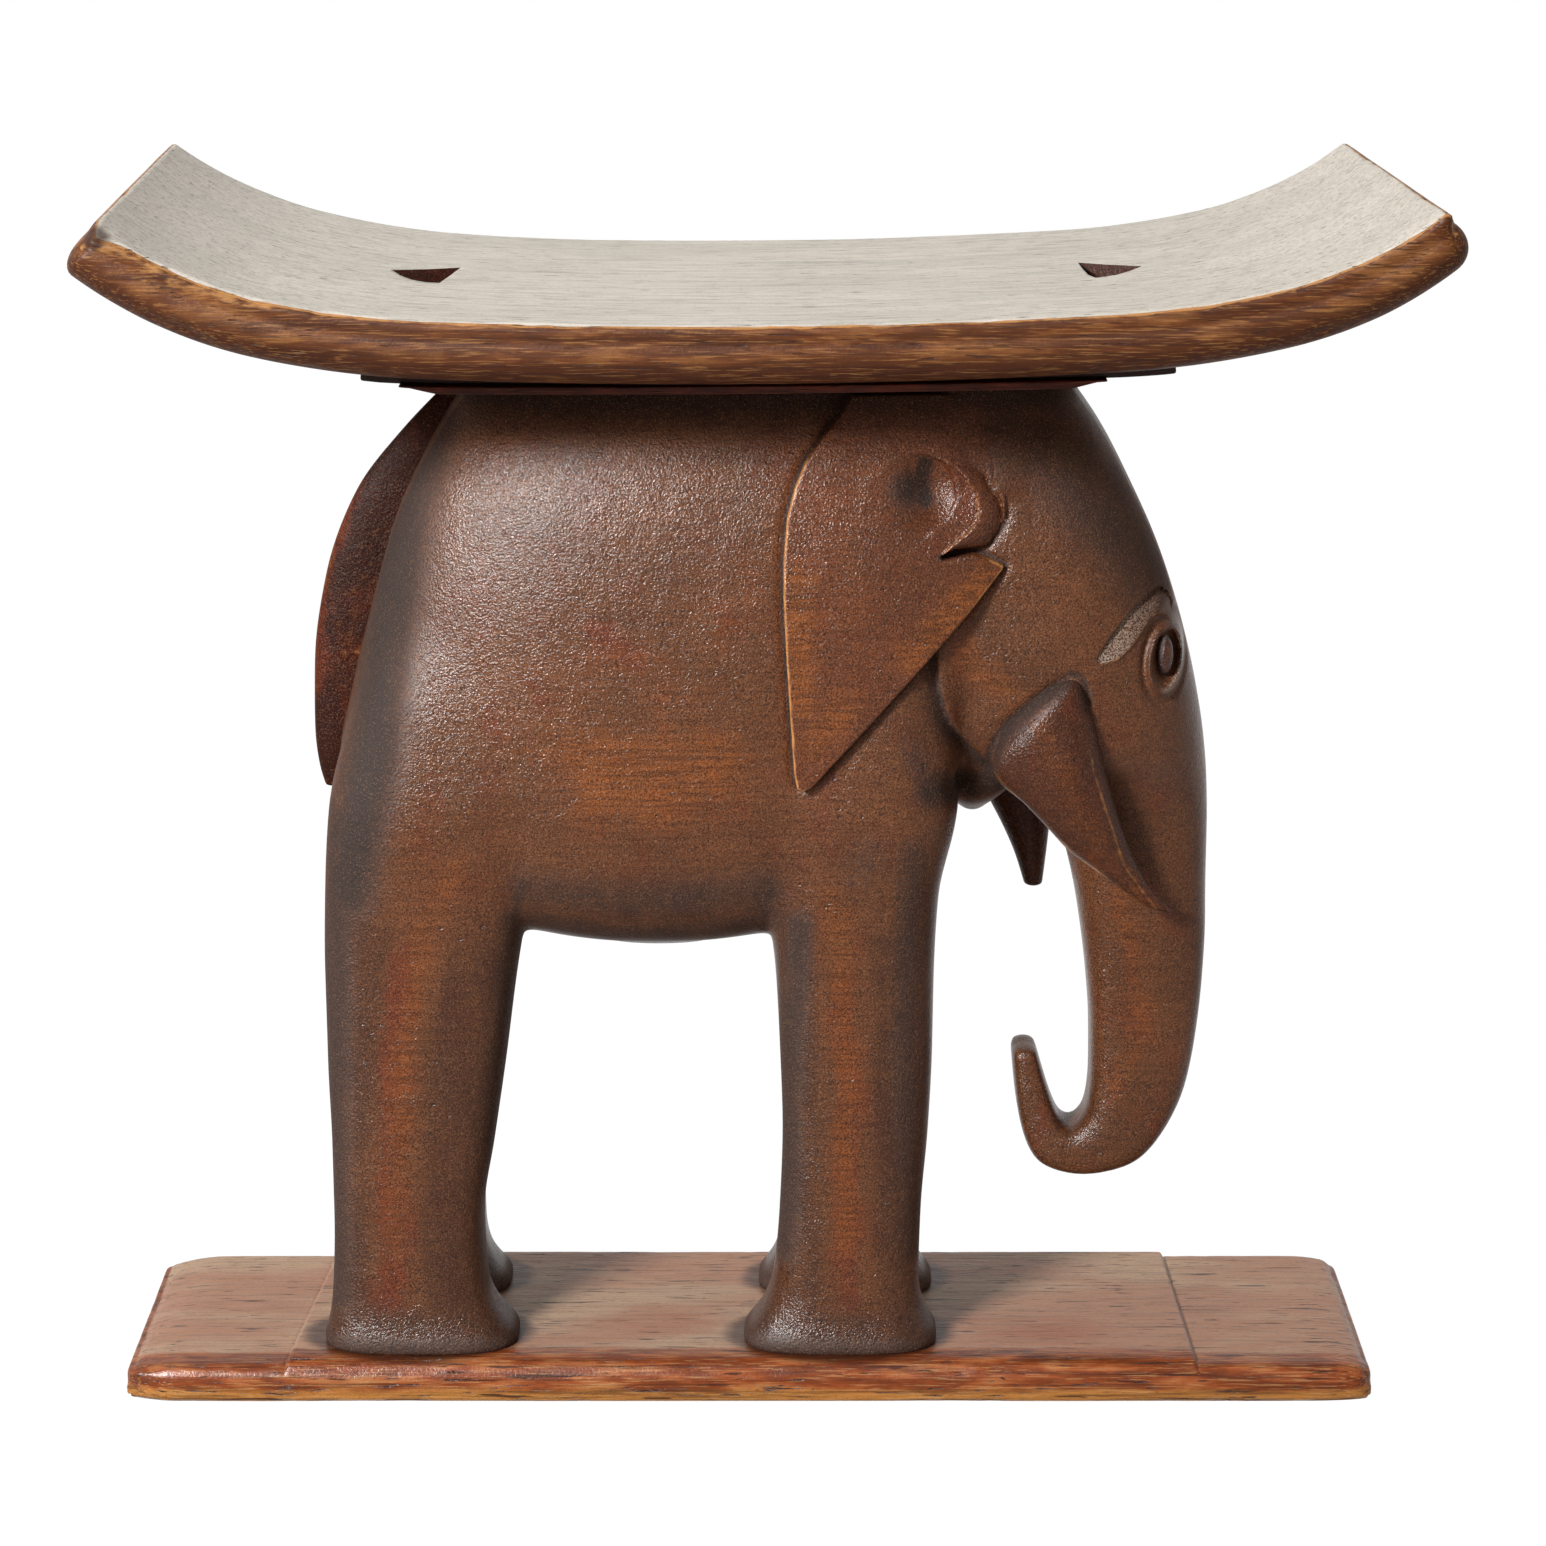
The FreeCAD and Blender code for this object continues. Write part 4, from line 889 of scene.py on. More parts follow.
def worn_wood(name, top, streak, side, low, rim, dark, gloss=0.45, flecks=0.5, shine=0.12, cracks=0.0):
    """Board of old wood: a worn top, a darker side, a lower side and paler chipped rims. On the seat the
    pale top is partly a painted sheen.
    """
    surface = Surface(name)
    broad = surface.noise((9, 26, 26), 3, 0.55, 0.3)
    grain = surface.noise((14, 520, 520), 4, 0.65, 0.15)
    fine = surface.noise((60, 1500, 1500), 2, 0.6)
    dashes = surface.noise((75, 900, 900), 2, 0.5)
    speckle = surface.noise((700, 700, 700), 2, 0.65)
    chips = surface.noise((85, 260, 260), 3, 0.6)
    splits = surface.noise((24, 380, 380), 2, 0.5)
    lumps = surface.noise((40, 160, 160), 3, 0.55)

    def marked(mark_name, noise, strength):
        return surface.uneven(surface.attribute(mark_name), (noise, strength))

    upper = surface.paint(top, (broad, 0.38, 0.62, 0.9, streak), (grain, 0.46, 0.70, 0.34, dark))
    around = surface.paint(
        side,
        (lumps, 0.45, 0.75, 0.3, rim),
        (lumps, 0.62, 0.36, 0.5, dark),
        (marked("low", lumps, 0.9), 0.25, 0.95, 0.9, low),
        (grain, 0.46, 0.64, 0.6, dark),
        (fine, 0.46, 0.34, 0.35, rim),
    )
    base = surface.paint(
        upper,
        (marked("front", lumps, 0.45), 0.30, 0.62, 1.0, around),
        (marked("rim", chips, 1.6), 0.55, 0.95, 0.85, rim),
        (dashes, 0.63, 0.69, flecks, dark),
        (chips, 0.735, 0.75, flecks, dark),
        (marked("reddened", lumps, 0.9), 0.3, 1.1, 0.5, side),
        (splits, 0.66, 0.70, cracks, dark),
        # Darkened spots: a dark chip on the seat's corner, and painted shade round the feet on the base
        (marked("soot_and_shade", lumps, 0.54), 0.2, 0.9, 0.85, dark),
        (fine, 0.45, 0.70, 0.16, dark),
        (speckle, 0.50, 0.70, 0.16, dark),
    )
    surface.set(base_color=base, coat_weight=0.0, IOR=1.5, specular_ior_level=shine)
    surface.set(roughness=surface.fade(broad, 0.3, 0.7, gloss + 0.05, gloss - 0.05))
    surface.set(normal=surface.bumps(
        (grain, 0.4 * MM, 0.5), (speckle, 0.4 * MM, 0.45),
        (surface.fade(dashes, 0.64, 0.74, 1, 0), 0.6 * MM, 0.6), (lumps, 1.2 * MM, 0.4)))
    return surface.material


RED_BROWN = colour(120, 52, 28)
WARM_BROWN = colour(148, 82, 36)
# Dark brown for dark patches, grain and stain, and for painted shade
SOOT_AND_SHADE_BROWN = colour(34, 20, 14)
# Bare wood of rubbed edges, also used for a painted highlight
BARE_EDGE_AND_HIGHLIGHT = colour(206, 140, 80)
# Grey of a painted highlight
HIGHLIGHT_GREY = colour(168, 154, 138)
SHADED_BROWN = colour(64, 40, 29)
PALE_DUST = colour(176, 134, 100)

elephant_skin = lacquer("elephant_lacquer", colour(120, 72, 43))
ear_skin = lacquer("ear_lacquer", colour(120, 66, 38))
tusk_skin = lacquer("tusk_lacquer", colour(96, 52, 32), 0.26, 0.12)
tail_skin = lacquer("tail_lacquer", colour(58, 22, 12), 0.45, 0.04)
eye_skin = lacquer("eye_lacquer", colour(82, 42, 28), 0.22, 0.22)
wall_skin = lacquer("hole_wall", colour(84, 40, 28), 0.5)
# Seat: the pale grey-beige top and streak colours are worn wood lightened with a painted sheen of reflected
# pale light
seat_wood = worn_wood("seat_wood", colour(216, 207, 195), colour(204, 196, 183), colour(112, 62, 30),
                      colour(72, 36, 20), colour(190, 136, 80), colour(56, 30, 19), 0.5, 0.7, 0.08)
# Plate: dark brown wood painted near-black, partly as painted shade under the seat's overhang
shaded_plate_wood = worn_wood("shaded_plate_wood", colour(48, 27, 18), colour(60, 32, 22), colour(52, 29, 19),
                       colour(40, 22, 15), colour(86, 46, 30), colour(24, 14, 10), 0.40, 0.2)
pad_wood = worn_wood("pad_wood", colour(80, 34, 22), colour(92, 42, 28), colour(88, 38, 25),
                     colour(62, 28, 19), colour(136, 66, 42), colour(34, 17, 12), 0.40, 0.2)
base_wood = worn_wood("base_wood", colour(196, 160, 129), colour(182, 126, 94), colour(164, 78, 32),
                      colour(190, 128, 62), colour(214, 168, 112), colour(58, 28, 16), 0.32, 0.9, 0.16, 0.85)
dowel_wood = worn_wood("dowel_wood", colour(176, 136, 92), colour(196, 160, 116), colour(170, 130, 88),
                       colour(170, 130, 90), colour(206, 170, 122), colour(120, 84, 54), 0.6, 0.2)

# Elephant

CARVED_SOFTNESS = 1.4 * MM
LEG_FORMS = [
    (LEFT_REAR_LEG_SHARES, 1),
    (RIGHT_REAR_LEG_SHARES, -1),
    (LEFT_FRONT_LEG_SHARES, 1),
    (RIGHT_FRONT_LEG_SHARES, -1),
]
ELEPHANT_FORMS = [
    (TORSO_SHARES, 1, 0.0),
    (HEAD_SHARES, 1, 6 * MM),
    (JAW_SHARES, 1, 5 * MM),
] + [(rings, side, 5 * MM) for rings, side in LEG_FORMS]


def foot_plan(rings):
    """Rear end, front end, middle and half width of a leg's lowest ring, in metres."""
    rear, front, middle, half_width, _ = min(rings, key=lambda ring: ring[0][1])
    return stand_x(rear[0]), stand_x(front[0]), stand_y(middle), stand_y(half_width)


def ear_join(x, z):
    """Where the ear's front runs smoothly into the head, from 0 to 1."""
    return smooth_step(368 * MM, 384 * MM, z) * smooth_step(50 * MM, 80 * MM, x)


def eye_distance(x, z):
    """Distance from the crest of the eye's carved ring, in metres, negative inside it."""
    up = z - EYE_MIDDLE[1] * MM
    along = x - EYE_MIDDLE[0] * MM - EYE_LEAN * up
    share = np.hypot(along / (EYE_HALF[0] * MM), up / (EYE_HALF[1] * MM))
    return (share - 1) * EYE_SIZE


def in_brow(x, z):
    """Whether a place is on the carved band over the eye."""
    return inside_outline(BROW_LOWER + BROW_UPPER[::-1], x, z)


def side_relief(x, z):
    """Carved detail on the elephant's sides, in metres out of the surface, seen from the side."""
    jaw, jaw_side = line_distance(JAW_LINE, x, z)
    relief = -2.8 * np.where(jaw_side < 0, np.exp(-(jaw / (6.5 * MM)) ** 1.3), bell(jaw, 0.8))
    relief -= 3.0 * spot(x, z, (82, 262), (7, 6))
    ear = outline_distance(EAR_OUTLINE, x, z)
    relief -= 1.1 * bell(ear - 0.6 * MM, 1.5) * (1 - ear_join(x, z))
    relief -= 0.9 * bell(line_distance(TUSK_ROOT, x, z)[0], 1.5)
    lower = line_distance(BROW_LOWER, x, z)[0]
    upper = line_distance(BROW_UPPER, x, z)[0]
    share = lower / np.maximum(lower + upper, 1e-6)
    width = np.minimum((lower + upper) / BROW_WIDTH, 1)
    relief += width * np.where(in_brow(x, z), 1.0 - 3.0 * share, 0.9 * bell(lower, 0.8))
    relief += 2.2 * spot(x, z, (161.6, 334.5), (4, 3.6))
    eye = eye_distance(x, z)
    relief += 2.3 * bell(eye, 1.5) - 0.8 * bell(eye - 3.6 * MM, 1.6) - 2.2 * bell(eye + 4.2 * MM, 2.2)
    return relief * MM


def cut_at_tier(field):
    """End a field under the tier that lies on the elephant's back."""
    back = bend_height(field.axes[0], PAD_DEPTH + GLUE_GAP) - plate_sag(field.axes[0])
    over = field.axes[2][None, :] - back[:, None]
    field.distance = np.maximum(field.distance, over[:, None, :].astype(np.float32))


def elephant_field(low, high, step):
    """Field of the elephant's carved block."""
    field = Field(low, high, step)
    for rings, side, soft in ELEPHANT_FORMS:
        field.add(rings, side, soft)
    field.soften(CARVED_SOFTNESS)
    x, z = field.plane()
    skirt = Field(low, high, step)
    skirt.add(EAR_FACE_SHARES)
    ear = outline_distance(EAR_OUTLINE, x, z)
    rise = 0.2 * MM - 0.12 * np.maximum(-2 * MM - ear, 0) - np.maximum(ear, 0) ** 2 / (40 * MM)
    rise += ear_relief(x, z) - 14 * MM * (1 - ear_join(x, z))
    skirt.distance -= rise[:, None, :].astype(np.float32)
    field.distance = soft_union(field.distance, skirt.distance, 4 * MM)
    sides = smooth_step(7 * MM, 15 * MM, np.abs(field.axes[1]))
    field.distance -= (side_relief(x, z)[:, None, :] * sides[None, :, None]).astype(np.float32)
    cut_at_tier(field)
    feet = FOOT_LEVEL - 0.5 * MM - field.axes[2]
    field.distance = np.maximum(field.distance, feet[None, None, :].astype(np.float32))
    return field


def refine(piece, low, high, rounds):
    """Split the faces whose middles are in a block, some times over."""
    mesh = bmesh.new()
    mesh.from_mesh(piece.data)
    for _ in range(rounds):
        chosen = []
        for face in mesh.faces:
            middle = face.calc_center_median()
            place = (middle.x, abs(middle.y), middle.z)
            if all(low[n] < place[n] < high[n] for n in range(3)):
                chosen.append(face)
        edges = list({edge for face in chosen for edge in face.edges})
        bmesh.ops.subdivide_edges(mesh, edges=edges, cuts=1, use_grid_fill=True)
    bmesh.ops.triangulate(mesh, faces=[face for face in mesh.faces if len(face.verts) > 4])
    mesh.to_mesh(piece.data)
    mesh.free()
    piece.data.update()
    piece.data.shade_smooth()


EYE_BLOCK = ((131 * MM, 12 * MM, 288 * MM), (178 * MM, 56 * MM, 345 * MM))
EYE_STEP = 0.65 * MM
ELEPHANT_TRIANGLES = 150000
MIDDLE_STRIP = 14 * MM


def make_elephant():
    step = 1.4 * MM
    low = (stand_x(-0.03), -ELEPHANT_WIDTH / 2 - 8 * MM, FOOT_LEVEL - 4 * MM)
    high = (stand_x(1.03), ELEPHANT_WIDTH / 2 + 8 * MM, stand_z(1.05))
    field = elephant_field(low, high, step)
    points, faces = field.skin()
    points = field.settle(points)
    piece = new_piece("elephant_block", points, faces, elephant_skin, ["elephant"])
    thin_out(piece, ELEPHANT_TRIANGLES)
    move_vertices(piece, field.settle(vertices(piece), 2))
    low, high = EYE_BLOCK
    refine(piece, low, high, 2)
    points = vertices(piece)
    margin = 2 * MM
    for side in SIDES.values():
        near = sorted((side * (low[1] - margin), side * (high[1] + margin)))
        fine = elephant_field((low[0] - margin, near[0], low[2] - margin),
                              (high[0] + margin, near[1], high[2] + margin), EYE_STEP)
        ends = np.array([[low[0], near[0] + margin, low[2]], [high[0], near[1] - margin, high[2]]])
        here = np.all((points > ends[0]) & (points < ends[1]), axis=1)
        points[here] = fine.settle(points[here], 4)
    move_vertices(piece, points)
    x, y, z = points.T
    mark(piece, "worn", marks(WORN_LINES, x, z))
    mark(piece, "reddened", marks(RED_LINES, x, z))
    jaw, jaw_side = line_distance(JAW_LINE, x, z)
    ear = outline_distance(EAR_OUTLINE, x, z)
    eye = eye_distance(x, z)
    # Dark marks: partly dark stain, partly painted shade in the jaw crease, round the ear, tusk root, brow
    # and eye, with a painted shadow band under the plate over the back
    grime_and_shade = np.max([
        marks(STAIN_AND_SHADE_LINES, x, z),
        0.9 * smooth_step(396 * MM, 420 * MM, z) * smooth_step(150 * MM, 110 * MM, x),
        0.9 * bell(jaw, np.where(jaw_side < 0, 7, 1.5)),
        0.95 * bell(ear - 0.5 * MM, 1.3) * (1 - ear_join(x, z)),
        0.9 * bell(line_distance(TUSK_ROOT, x, z)[0], 1.8),
        0.5 * bell(line_distance(BROW_UPPER, x, z)[0], 1.6),
        0.8 * bell(eye + 4.95 * MM, 3.2),
        0.45 * bell(eye - 4.05 * MM, 2.5),
    ], axis=0)
    mark(piece, "grime_and_shade", np.where(np.abs(y) < MIDDLE_STRIP, grime_and_shade * 0.7, grime_and_shade))
    band = np.min([line_distance(line, x, z)[0] for line in LEG_BANDS], axis=0)
    shaded = 0.62 * smooth_step(236 * MM, 190 * MM, z) * smooth_step(6 * MM, 15 * MM, band)
    shaded *= smooth_step(100 * MM, 80 * MM, x)
    mark(piece, "shaded", np.maximum(shaded, 0.85 * smooth_step(50 * MM, 26 * MM, z)))
    outer = np.abs(y) > MIDDLE_STRIP
    # Painted highlight: a pale line along the brow's crisp lower edge
    mark(piece, "rubbed_and_highlight", 0.55 * bell(line_distance(BROW_LOWER, x, z)[0], 0.6) * outer)
    # Painted highlight on the brow band and on the front of the eye ring
    brow_highlight = 0.85 * in_brow(x, z) * smooth_step(166 * MM, 140 * MM, x)
    ahead = 1.8 * (x - EYE_MIDDLE[0] * MM) - 0.608 * (z - EYE_MIDDLE[1] * MM)
    mark(piece, "painted_highlight", np.maximum(brow_highlight, bell(eye, 1.1) * smooth_step(1 * MM, 11 * MM, ahead)) * outer)


# Ears


def ear_relief(x, z):
    """Hollow, crisp rim and rounded roll of the ear's folded lobe, in metres out of its face."""
    rim = line_distance(EAR_RIM, x, z)[0]
    roll = line_distance(EAR_ROLL, x, z)[0]
    share = rim / np.maximum(rim + roll, 1e-6)
    in_roll = inside_outline(EAR_RIM + EAR_ROLL[::-1], x, z)
    relief = np.where(in_roll, (1.6 - 4.4 * share ** 2) * smooth_step(398 * MM, 386 * MM, z), 0)
    wall, wall_side = line_distance(EAR_WALL, x, z)
    behind = smooth_step(0.8 * MM, -0.8 * MM, wall * wall_side)
    hollow = 5.2 * behind * spot(x, z, (67, 385), (10, 12)) + 2.8 * spot(x, z, (75, 380), (13, 12.5))
    relief -= np.where(~in_roll & (x < 90 * MM), hollow, 0)
    return (relief + 0.25 * lattice(np.stack([x, 0 * x, z], axis=-1), 22 * MM, 5)) * MM


EAR_LOW = (5 * MM, 28 * MM, 259 * MM)
EAR_HIGH = (101 * MM, 69 * MM, 424 * MM)
EAR_THICKNESS = 8.5 * MM
EAR_WORN_LINES = [
    ([(16, 300), (14, 350)], 9, 1.0),
    ([(22, 284), (34, 300)], 10, 0.8),
    ([(60, 318), (90, 350)], 9, 0.9),
    ([(40, 330), (30, 370)], 16, 0.35),
]


def make_ear(name, side):
    step = 0.7 * MM
    low_y, high_y = sorted((side * EAR_LOW[1], side * EAR_HIGH[1]))
    field = Field((EAR_LOW[0], low_y, EAR_LOW[2]), (EAR_HIGH[0], high_y, EAR_HIGH[2]), step)
    field.add(EAR_FACE_SHARES)
    x, z = field.plane()
    outline = outline_distance(EAR_OUTLINE, x, z)[:, None, :].astype(np.float32)
    face = field.distance - ear_relief(x, z)[:, None, :].astype(np.float32)
    front = -soft_union(-outline, -face, 0.9 * MM)
    field.distance = np.maximum(front, -(field.distance + EAR_THICKNESS))
    cut_at_tier(field)
    points, faces = field.skin()
    points = field.settle(points, 2)
    piece = new_piece("ear_plate_" + name, points, faces, ear_skin, ["ear_" + name])
    x, _, z = points.T
    edge = outline_distance(EAR_OUTLINE, x, z)
    rear = smooth_step(30 * MM, 14 * MM, x) * smooth_step(425 * MM, 380 * MM, z)
    lobe = smooth_step(70 * MM, 90 * MM, x) * smooth_step(362 * MM, 352 * MM, z)
    rubbed_and_highlight = (0.10 + 0.85 * (rear + lobe)) * bell(edge, 1.1) * smooth_step(410 * MM, 395 * MM, z)
    rim = bell(line_distance(EAR_RIM, x, z)[0], 0.5) * (z < 388 * MM)
    mark(piece, "rubbed_and_highlight", np.maximum(rubbed_and_highlight * (1 - ear_join(x, z)), 0.55 * rim))
    mark(piece, "worn", marks(EAR_WORN_LINES, x, z))
    slit = line_distance([(65, 394), (63, 388), (65, 380)], x, z)[0]
    crease = line_distance([(71, 358), (84, 360), (90, 360)], x, z)[0]
    # Painted shade in the ear's hollow, slit and lower crease, a painted shadow under the plate at its top,
    # and the body's dark lines where the ear joins the head
    mark(piece, "grime_and_shade", np.max([
        spot(x, z, (59, 385), (9.5, 10)),
        1.2 * bell(slit, 4),
        0.9 * bell(crease, 1.5),
        0.8 * smooth_step(398 * MM, 420 * MM, z),
        marks(STAIN_AND_SHADE_LINES, x, z) * ear_join(x, z),
    ], axis=0))


# Tusks, tail and eyes

TUSK_LENS = 1.75
RIDGE_SOFTNESS = 0.5 * MM


def make_ringed(name, rings, side, step, skin, node, lens=0.0):
    """Piece from one form through rings."""
    field = Field(*form_box(rings, side, 4 * step), step)
    field.add(rings, side, lens=lens)
    field.soften(RIDGE_SOFTNESS)
    points, faces = field.skin()
    return new_piece(name, field.settle(points, 2), faces, skin, [node])


def make_tusk(name, rings, side):
    step = 0.55 * MM
    piece = make_ringed(name + "_horn", rings, side, step, tusk_skin, name, TUSK_LENS)
    x, _, z = vertices(piece).T
    # Painted shade where the tusk meets the head
    mark(piece, "grime_and_shade", 0.9 * bell(line_distance(TUSK_ROOT, x, z)[0], 5))
    mark(piece, "worn", marks([([(112, 292), (128, 250), (160, 210)], 8, 0.4)], x, z))
    edges = [([(128, 300), (134, 269), (148, 227), (162, 207)], 0.9, 0.55),
             ([(93, 269), (116, 244), (134, 227), (160, 206)], 0.9, 0.55)]
    mark(piece, "rubbed_and_highlight", marks(edges, x, z) * smooth_step(300 * MM, 270 * MM, z))


def make_tail():
    step = 0.7 * MM
    piece = make_ringed("tail_strip", TAIL_SHARES, 1, step, tail_skin, "tail")
    x, y, z = vertices(piece).T
    mark(piece, "worn", marks([([(-168, 385), (-181, 335)], 4, 0.8)], x, z) * (y < 3 * MM))
    mark(piece, "reddened", marks([([(-160, 395), (-182, 330), (-184, 290)], 6, 0.9)], x, z))
    # Painted shadow of the plate over the tail's top
    mark(piece, "grime_and_shade", smooth_step(400 * MM, 420 * MM, z) * 0.8)
    # Rubbed edges along the tail's sides, partly a painted highlight on its crisp edges
    mark(piece, "rubbed_and_highlight", 0.25 * bell(np.abs(y) - 7 * MM, 0.6))


BEAD_HALVES = (3.7 * MM, 8.2 * MM, 3.2 * MM)


def make_eye(name, side):
    """Bead of the eye: an oval dome with a soft rim, turned half to the front."""
    across, around = 24, 48
    half_along, half_up, half_out = BEAD_HALVES
    points = []
    faces = []
    middle = np.array([stand_x(0.935), side * stand_y(0.555), stand_z(0.726)])
    outward = np.array([math.cos(math.radians(45)), side * math.sin(math.radians(45)), 0])
    along = np.array([-outward[1], outward[0], 0])
    for ring in range(across + 1):
        turn = math.pi * ring / across
        flat = math.sin(turn) ** 0.8
        out = math.copysign(abs(math.cos(turn)) ** 1.2, math.cos(turn))
        for step in range(around):
            angle = 2 * math.pi * step / around
            wobble = 1 + 0.03 * math.sin(3 * angle + ring)
            up = np.array([0, 0, half_up * flat * wobble * math.sin(angle)])
            points.append(middle + along * (half_along * flat * wobble * math.cos(angle)) + up
                          + outward * (half_out * out))
    for ring in range(across):
        for step in range(around):
            after = (step + 1) % around
            face = [ring * around + step, ring * around + after,
                    (ring + 1) * around + after, (ring + 1) * around + step]
            faces.append(face if side < 0 else face[::-1])
    piece = new_piece("eye_bead_" + name, points, faces, eye_skin, ["eye_" + name])
    places = np.array(points) - middle
    edge = np.hypot(places @ along / half_along, places[:, 2] / half_up)
    # Painted shade round the bead's rim, where it sits in the ring
    mark(piece, "grime_and_shade", smooth_step(0.75, 0.95, edge) * 0.9)
    mark(piece, "worn", 0.5 * np.exp(-(edge / 0.5) ** 2))


# Boards


def grid_lines(low, high, rims, spacing, extra=()):
    """Places along one side of a board, close together at its two rims."""
    lines = [low, high]
    for start, rim, way in ((low, rims[0], 1), (high, rims[1], -1)):
        steps = max(3, int(round(rim / (1.2 * MM))))
        lines += [start + way * rim * (1 - math.tan(math.radians(45) * n / steps)) for n in range(steps)]
    count = max(2, int(round((high - low - sum(rims)) / spacing)))
    lines += list(np.linspace(low + rims[0], high - rims[1], count + 1))
    lines += list(extra)
    lines = np.unique(np.round(np.array(lines), 6))
    keep = [lines[0]]
    for place in lines[1:]:
        if place - keep[-1] > 0.12 * MM:
            keep.append(place)
    return np.array(keep)


def board(lines, rounds, end_shares=(1.0, 1.0)):
    """Closed rounded board: its points on a box's faces, moved in to its rounded rims.

    rounds are the rim's roundings at the top and at the bottom, and end_shares make them less along
    X at the rear and at the front end, for blunter ends. The result is the points, how much of a rim
    each is on, the way out from the surface, and the faces.
    """
    counts = [len(axis) for axis in lines]
    number = np.full(counts, -1)
    shell = np.zeros(counts, bool)
    for axis in range(3):
        np.moveaxis(shell, axis, 0)[[0, -1]] = True
    cells = np.argwhere(shell)
    number[tuple(cells.T)] = np.arange(len(cells))
    outer = np.column_stack([lines[axis][cells[:, axis]] for axis in range(3)])
    shares = np.ones_like(outer)
    shares[:, 0] = np.where(outer[:, 0] < 0, *end_shares)
    faces = []
    for axis in range(3):
        for end in (0, -1):
            sheet = np.moveaxis(number, axis, 0)[end]
            quads = np.stack([sheet[:-1, :-1], sheet[1:, :-1], sheet[1:, 1:], sheet[:-1, 1:]], axis=-1)
            quads = quads.reshape(-1, 4)
            if (end == 0) != (axis == 1):
                quads = quads[:, ::-1]
            faces.append(quads)
    low = np.array([axis[0] for axis in lines])
    high = np.array([axis[-1] for axis in lines])
    middle = (low[2] + rounds[1] + high[2] - rounds[0]) / 2
    share = smooth_step(middle - 1 * MM, middle + 1 * MM, outer[:, 2])
    rim = (rounds[1] + share * (rounds[0] - rounds[1]))[:, None] * shares
    core = np.clip(outer, low + rim, high - rim)
    out = (outer - core) / shares
    out /= np.linalg.norm(out, axis=1, keepdims=True)
    sharp = 1 - np.abs(out).max(axis=1)
    return core + rim * out, sharp / 0.293, out, np.concatenate(faces)


def mark_board(piece, points, sharp, out, lower, reach=0.0, bare=(1.0, 0.0), worn=0.0):
    """Marks for a board's material, with the depth at which its side turns to its lower side.

    reach is how far the side's colour comes in over the top's rim, along Y. bare is how much the
    rims are rubbed at the top and at the bottom.
    """
    high, low = points[:, 2].max(), points[:, 2].min()
    share = (high - points[:, 2]) / (high - low)
    rim = sharp * np.where(out[:, 2] > 0.05, bare[0], np.where(out[:, 2] < -0.05, bare[1], 0))
    mark(piece, "rim", np.maximum(rim, worn * smooth_step(0.3, 0.7, -out[:, 1])))
    side = smooth_step(0.35, 0.85, np.hypot(out[:, 0], out[:, 1]))
    side = np.maximum(side, smooth_step(0, -0.2, out[:, 2]))
    if reach:
        edge = points[:, 1].min() + reach
        side = np.maximum(side, smooth_step(9 * MM, -9 * MM, points[:, 1] - edge))
    mark(piece, "front", side)
    mark(piece, "low", smooth_step(lower - 0.25, lower + 0.25, share))


def chipped(points, sharp, out, depth, size, seed):
    """Move the rims of a board in, here and there, as wear and small chips do."""
    soft = lattice(points, size, seed)
    small = lattice(points, size / 4, seed + 1)
    bite = np.clip(soft * 0.7 + small * 0.6, 0, 1) * sharp
    wave = 0.12 * MM * lattice(points, 40 * MM, seed + 2)
    return points - out * (bite * depth)[:, None] + out * wave[:, None]


SEAT_LOOK = 19.7 * MM
SEAT_ROUNDS = (3.4 * MM, 12 * MM)
SEAT_END_SHARES = (0.45, 0.85)
SEAT_STRETCH = 3.2 * MM
SEAT_SKEW = 0.02
SEAT_TWIST = 4.9 * MM
SEAT_HOLD_X = (235 * MM, 264.9 * MM)
SEAT_HOLD_Z = (480 * MM, 501.6 * MM)
BROKEN_CORNER = (3.0 * MM, 3.4 * MM)


def hold_in(places, start, most):
    """Squeeze what lies past start along one axis, so that nothing lies past most."""
    past = places > start
    places[past] = start + (places[past] - start) * (most - start) / (places.max() - start)


